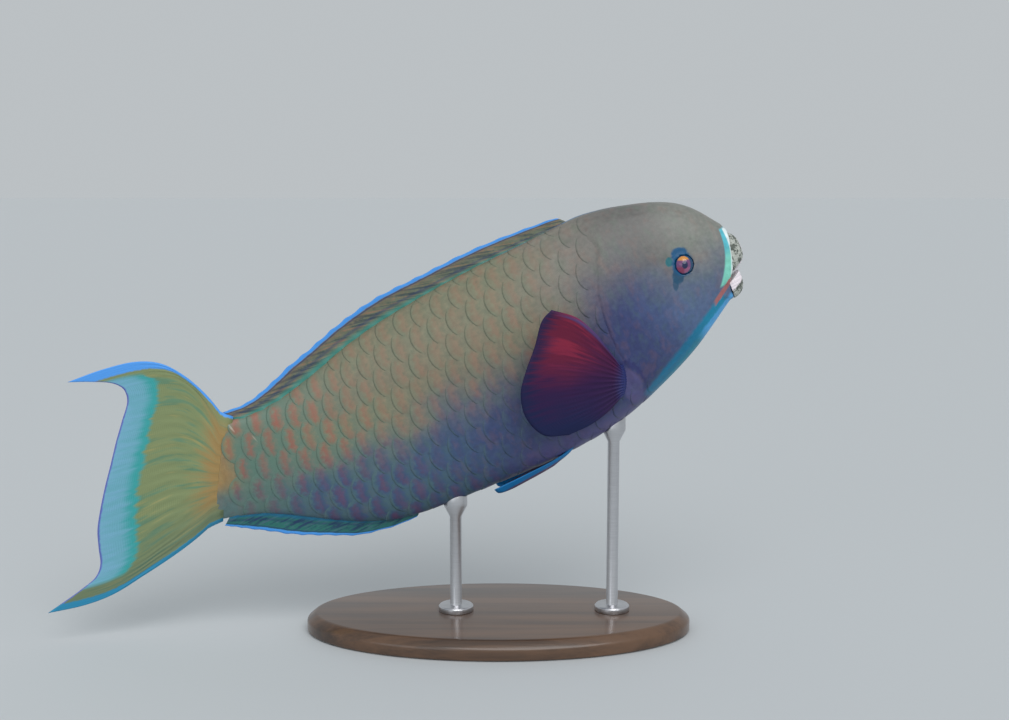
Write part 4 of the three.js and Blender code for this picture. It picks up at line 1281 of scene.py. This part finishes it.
def eye_material():
    sheet = Sheet("eye_gloss")
    ball, x, y, z = sheet.value("eye")
    right = x * math.cos(PITCH) - z * math.sin(PITCH) + 0.3
    above = z * math.cos(PITCH) + x * math.sin(PITCH) - 0.5
    streak = sheet.noise(sheet.scaled(ball, (1.2, 0.1, 1.2)), 1.4) - 0.5
    pink = sheet.mix(right.step(-0.5, 1.5), IRIS_MAGENTA, IRIS_PINK)
    sheet.colour = sheet.mix((above + streak * 2).step(-0.5, -3), IRIS_VIOLET, pink)
    sheet.coat((above - right.over(0) * 0.25 + streak * 2).step(2.9, 4.3), IRIS_ORANGE)
    away = ((right * 1.2) ** 2 + above ** 2) ** 0.5
    sheet.coat((away + streak * 1.4).step(IRIS - 0.5, IRIS + 0.4), EYE_RING)
    pupil = (((right - 0.9) * 1.3) ** 2 + (above - 0.1) ** 2) ** 0.5
    sheet.coat((pupil + streak * 0.8).step(PUPIL + 0.4, PUPIL - 0.4), PUPIL_NAVY)
    return sheet.shine(Roughness=0.16, Coat_Weight=0.7, Coat_Roughness=0.04, Specular_IOR_Level=0.3)


eye_gloss = eye_material()
for side_name, side in SIDES:
    finish_piece(make_eye(side), f"eye_{side_name}_ball", eye_gloss, [f"eye_{side_name}"])

# %% [markdown]
# ## Beak
# The teeth are fused into two plates in each jaw, with a seam in the middle. Rows of little rounded tooth
# crowns show all over them, so the cutting edge is toothed like a worn saw. A ball made blunt gives the
# plate, crowns are raised on it in a brick pattern, and three cuts trim it: at the mouth, at the seam and
# inside the lips. The lower jaw turns the same sums over, through `down`.

# %% Beak
JAWS = {
    "upper": {"station": 14, "height": 18, "reach": 20.6, "half": 15, "tall": 18, "front": 10.2,
              "clean": 2.2, "down": 1},
    "lower": {"station": 17.5, "height": -4.5, "reach": 15, "half": 13.5, "tall": 16, "front": 6.4,
              "clean": 7.5, "down": -1},
}
BLUNTNESS = 0.84
BEAK_ROOT = 15
MOUTH_CORNER = (24, -10)
MOUTH_FRONT = -12
SUTURE = 0.15
CROWN = 2.5
CROWN_RISE = 0.5
CROWN_ROUNDING = 0.6


def mouth_slope(jaw):
    return (jaw["front"] - MOUTH_CORNER[1]) / (MOUTH_CORNER[0] - MOUTH_FRONT)


def trim(piece, point, outward):
    """Cuts a straight piece by a plane, drops what lies outward of it, and closes the cut."""
    with editing(piece):
        bpy.ops.mesh.bisect(plane_co=point, plane_no=outward, use_fill=True, clear_outer=True)


def make_beak(jaw, side):
    bpy.ops.object.select_all(action="DESELECT")
    bpy.ops.mesh.primitive_uv_sphere_add(segments=150, ring_count=110, radius=1)
    plate = bpy.context.object
    ball = points_of(plate)
    around = np.arctan2(ball[:, 1], ball[:, 0]) * jaw["half"] / CROWN
    climb = np.arcsin(np.clip(ball[:, 2], -1, 1)) * jaw["tall"] / CROWN
    row = np.floor(climb)
    crown = np.abs(np.sin(np.pi * (around + 0.5 * (row % 2)))) ** CROWN_ROUNDING
    crown = crown * np.abs(np.sin(np.pi * (climb - row))) ** CROWN_ROUNDING
    blunt = np.sign(ball) * np.abs(ball) ** BLUNTNESS
    size = np.array([jaw["reach"], jaw["half"], jaw["tall"]]) + CROWN_RISE * (crown[:, None] - 0.5)
    set_points(plate, blunt * size + [-jaw["station"], 0, jaw["height"]])
    corner = (-MOUTH_CORNER[0], 0, MOUTH_CORNER[1])
    trim(plate, corner, (jaw["down"] * mouth_slope(jaw), 0, -jaw["down"]))
    trim(plate, (0, side * SUTURE, 0), (0, -side, 0))
    trim(plate, (-BEAK_ROOT, 0, 0), (-1, 0, 0))
    set_points(plate, pose(points_of(plate)))
    face_outwards(plate)
    keep_values(plate, "fish", unpose(points_of(plate)))
    return plate


TOOTH_BONE = (0.5, 0.52, 0.47)
TOOTH_ALGAE = (0.1, 0.115, 0.095)
TOOTH_CLEAN_AND_HIGHLIGHT = (0.96, 0.87, 0.92)
PAINTED_TIP_HIGHLIGHT = (6.4, 7.6)


def beak_material(jaw_name, jaw):
    """Mottled with algae, and clean near the cutting edge, far down on the lower jaw; the front tip of the
    upper jaw carries a painted highlight.
    """
    sheet = Sheet(f"beak_{jaw_name}_teeth")
    fish, x, y, height = sheet.value("fish")
    from_edge = abs(height - MOUTH_CORNER[1] - (x + MOUTH_CORNER[0]) * mouth_slope(jaw))
    blotch = sheet.noise(fish, 0.2, 4.0)
    fine = sheet.noise(fish, 0.8)
    sheet.colour = sheet.mix((blotch * 1.2 + fine * 0.5).step(0.78, 0.94), TOOTH_BONE, TOOTH_ALGAE)
    clean = (from_edge + fine * 3).step(jaw["clean"] + 2.2, jaw["clean"] + 0.8)
    # The clean cutting edge is wear; the pale front tip is a painted rim highlight.
    sheet.coat(clean.over((x + fine * 2).step(*PAINTED_TIP_HIGHLIGHT)) * 0.92, TOOTH_CLEAN_AND_HIGHLIGHT)
    normal = sheet.bump(fine, 0.4, 0.0006)
    return sheet.shine(Roughness=0.5, Normal=normal, Coat_Weight=0.1)


for jaw_name, jaw in JAWS.items():
    tooth = beak_material(jaw_name, jaw)
    for side_name, side in SIDES:
        node = f"beak_{jaw_name}_{side_name}"
        finish_piece(make_beak(jaw, side), f"{node}_plate", tooth, [node], crease=35)

# %% [markdown]
# ## Stand
# The stand should be quiet and well made: an oval of dark hardwood with a moulded edge, and two brushed
# steel rods with a collar at the foot and a saddle under the belly. The base is a disc stretched to an
# oval, cut round near its top, drawn in above the cut, and bevelled. The rods keep their CAD form, with
# softened edges.

# %% Stand
BASE_SIDES = 192
EDGE_DEPTH = 6 * MM
EDGE_INSET = 7 * MM
BASE_BEVEL = 1.8 * MM
ROD_BEVEL = 0.35 * MM


def bevel_edges(piece, width, segments, angle):
    bevel = piece.modifiers.new("bevel", "BEVEL")
    bevel.width = width
    bevel.segments = segments
    bevel.limit_method = "ANGLE"
    bevel.angle_limit = math.radians(angle)
    apply_all(piece)


def make_base():
    size = np.array(base_high - base_low)
    bpy.ops.object.select_all(action="DESELECT")
    bpy.ops.mesh.primitive_cylinder_add(vertices=BASE_SIDES, radius=0.5, depth=1)
    base = bpy.context.object
    set_points(base, points_of(base) * size + np.array((base_low + base_high) / 2))
    with editing(base):
        bpy.ops.mesh.bisect(plane_co=(0, 0, base_high.z - EDGE_DEPTH), plane_no=(0, 0, 1))
    ring = points_of(base)
    top = ring[:, 2] > base_high.z - EDGE_DEPTH / 2
    ring[top, :2] *= 1 - EDGE_INSET / (size[:2] / 2)
    set_points(base, ring)
    bevel_edges(base, BASE_BEVEL, 4, 20)
    return base


WOOD_DARK = (0.035, 0.018, 0.01)
WOOD_LIGHT = (0.13, 0.065, 0.032)
STEEL_DARK = (0.5, 0.5, 0.52)
STEEL_LIGHT = (0.68, 0.68, 0.7)


def wood_material():
    sheet = Sheet("stand_walnut")
    place = sheet.place()
    rings = sheet.noise(sheet.scaled(place, (2.2, 34, 34)), 1.6, 4.0)
    fibre = sheet.noise(sheet.scaled(place, (14, 700, 700)), 1.0, 2.0)
    sheet.colour = sheet.mix((rings * 1.4 + fibre * 0.3).step(0.5, 1.15), WOOD_DARK, WOOD_LIGHT)
    normal = sheet.bump(fibre, 0.12, 0.0004)
    return sheet.shine(Roughness=0.28 + fibre * 0.12, Normal=normal, Coat_Weight=0.5, Coat_Roughness=0.12)


def steel_material():
    sheet = Sheet("stand_steel_brushed")
    brushed = sheet.noise(sheet.scaled(sheet.place(), (90, 90, 1800)), 1.0, 2.0)
    sheet.colour = sheet.mix(brushed, STEEL_DARK, STEEL_LIGHT)
    normal = sheet.bump(brushed, 0.1, 0.0003)
    return sheet.shine(Metallic=1.0, Roughness=0.26 + brushed * 0.14, Normal=normal)


finish_piece(make_base(), "stand_base_oval", wood_material(), ["stand_base"], crease=30)
steel = steel_material()
for node in ("stand_rod_front", "stand_rod_rear"):
    rod = copy_of_node(node, node)
    bevel_edges(rod, ROD_BEVEL, 2, 40)
    finish_piece(rod, f"{node}_steel", steel, [node], crease=35)

# %% [markdown]
# ## Camera, light and floor
# The camera looks along +Y from a little above the fish, with a 50 mm lens, and stands where the snout
# falls on the same spot of the picture as in the photograph. A very broad sun stands in for daylight
# that has come through water, a weak lamp fills the front, and a pale surround lights the rest.

# %% Camera
PICTURE = (1009, 720)
SNOUT_PIXEL = (741, 268)
CAMERA_TILT = math.radians(8)
CAMERA_AWAY = 1.171
LENS = 50
SENSOR = 36

look = np.array([0, math.cos(CAMERA_TILT), -math.sin(CAMERA_TILT)])
up = np.array([0, math.sin(CAMERA_TILT), math.cos(CAMERA_TILT)])
per_pixel = CAMERA_AWAY * SENSOR / LENS / PICTURE[0]
right_shift = (SNOUT_PIXEL[0] - PICTURE[0] / 2) * per_pixel
up_shift = (PICTURE[1] / 2 - SNOUT_PIXEL[1]) * per_pixel
eye_point = pose([0, 0, 0])[0] - look * CAMERA_AWAY - np.array([right_shift, 0, 0]) - up * up_shift
bpy.ops.object.camera_add(location=eye_point, rotation=(math.pi / 2 - CAMERA_TILT, 0, 0))
camera = bpy.context.object
camera.data.lens = LENS
camera.data.sensor_width = SENSOR
bpy.context.scene.camera = camera
print("the camera stands at", eye_point.round(3))

# %% Floor and lights
FLOOR_COLOUR = (0.56, 0.585, 0.6)
WORLD_COLOUR = (0.5, 0.53, 0.55)

bpy.ops.object.select_all(action="DESELECT")
bpy.ops.mesh.primitive_plane_add(size=30, location=(0, 0, -0.0005))
floor = bpy.context.object
floor.name = "floor"
floor_sheet = Sheet("floor_pale")
floor.data.materials.append(floor_sheet.shine(Base_Color=FLOOR_COLOUR, Roughness=0.7))


bpy.ops.object.light_add(type="SUN", rotation=(math.radians(42), 0, math.radians(14)))
sun = bpy.context.object
sun.name = "broad_daylight"
sun.data.energy = 1.5
sun.data.angle = math.radians(50)

LAMP_PLACE = np.array([-1.2, -1.9, 0.8])
FISH_MIDDLE = np.array([0, 0, 0.25])
aim = FISH_MIDDLE - LAMP_PLACE
tilt = math.atan2(math.hypot(aim[0], aim[1]), -aim[2])
turn = math.atan2(aim[0], -aim[1]) + math.pi
bpy.ops.object.light_add(type="AREA", location=LAMP_PLACE, rotation=(tilt, 0, turn))
lamp = bpy.context.object
lamp.name = "front_fill"
lamp.data.shape = "DISK"
lamp.data.size = 1.5
lamp.data.energy = 5
lamp.data.color = (0.92, 0.96, 1.0)

world = bpy.data.worlds.new("studio")
world.use_nodes = True
world.node_tree.nodes["Background"].inputs[0].default_value = (*WORLD_COLOUR, 1)
bpy.context.scene.world = world
bpy.context.scene.view_settings.view_transform = "Standard"
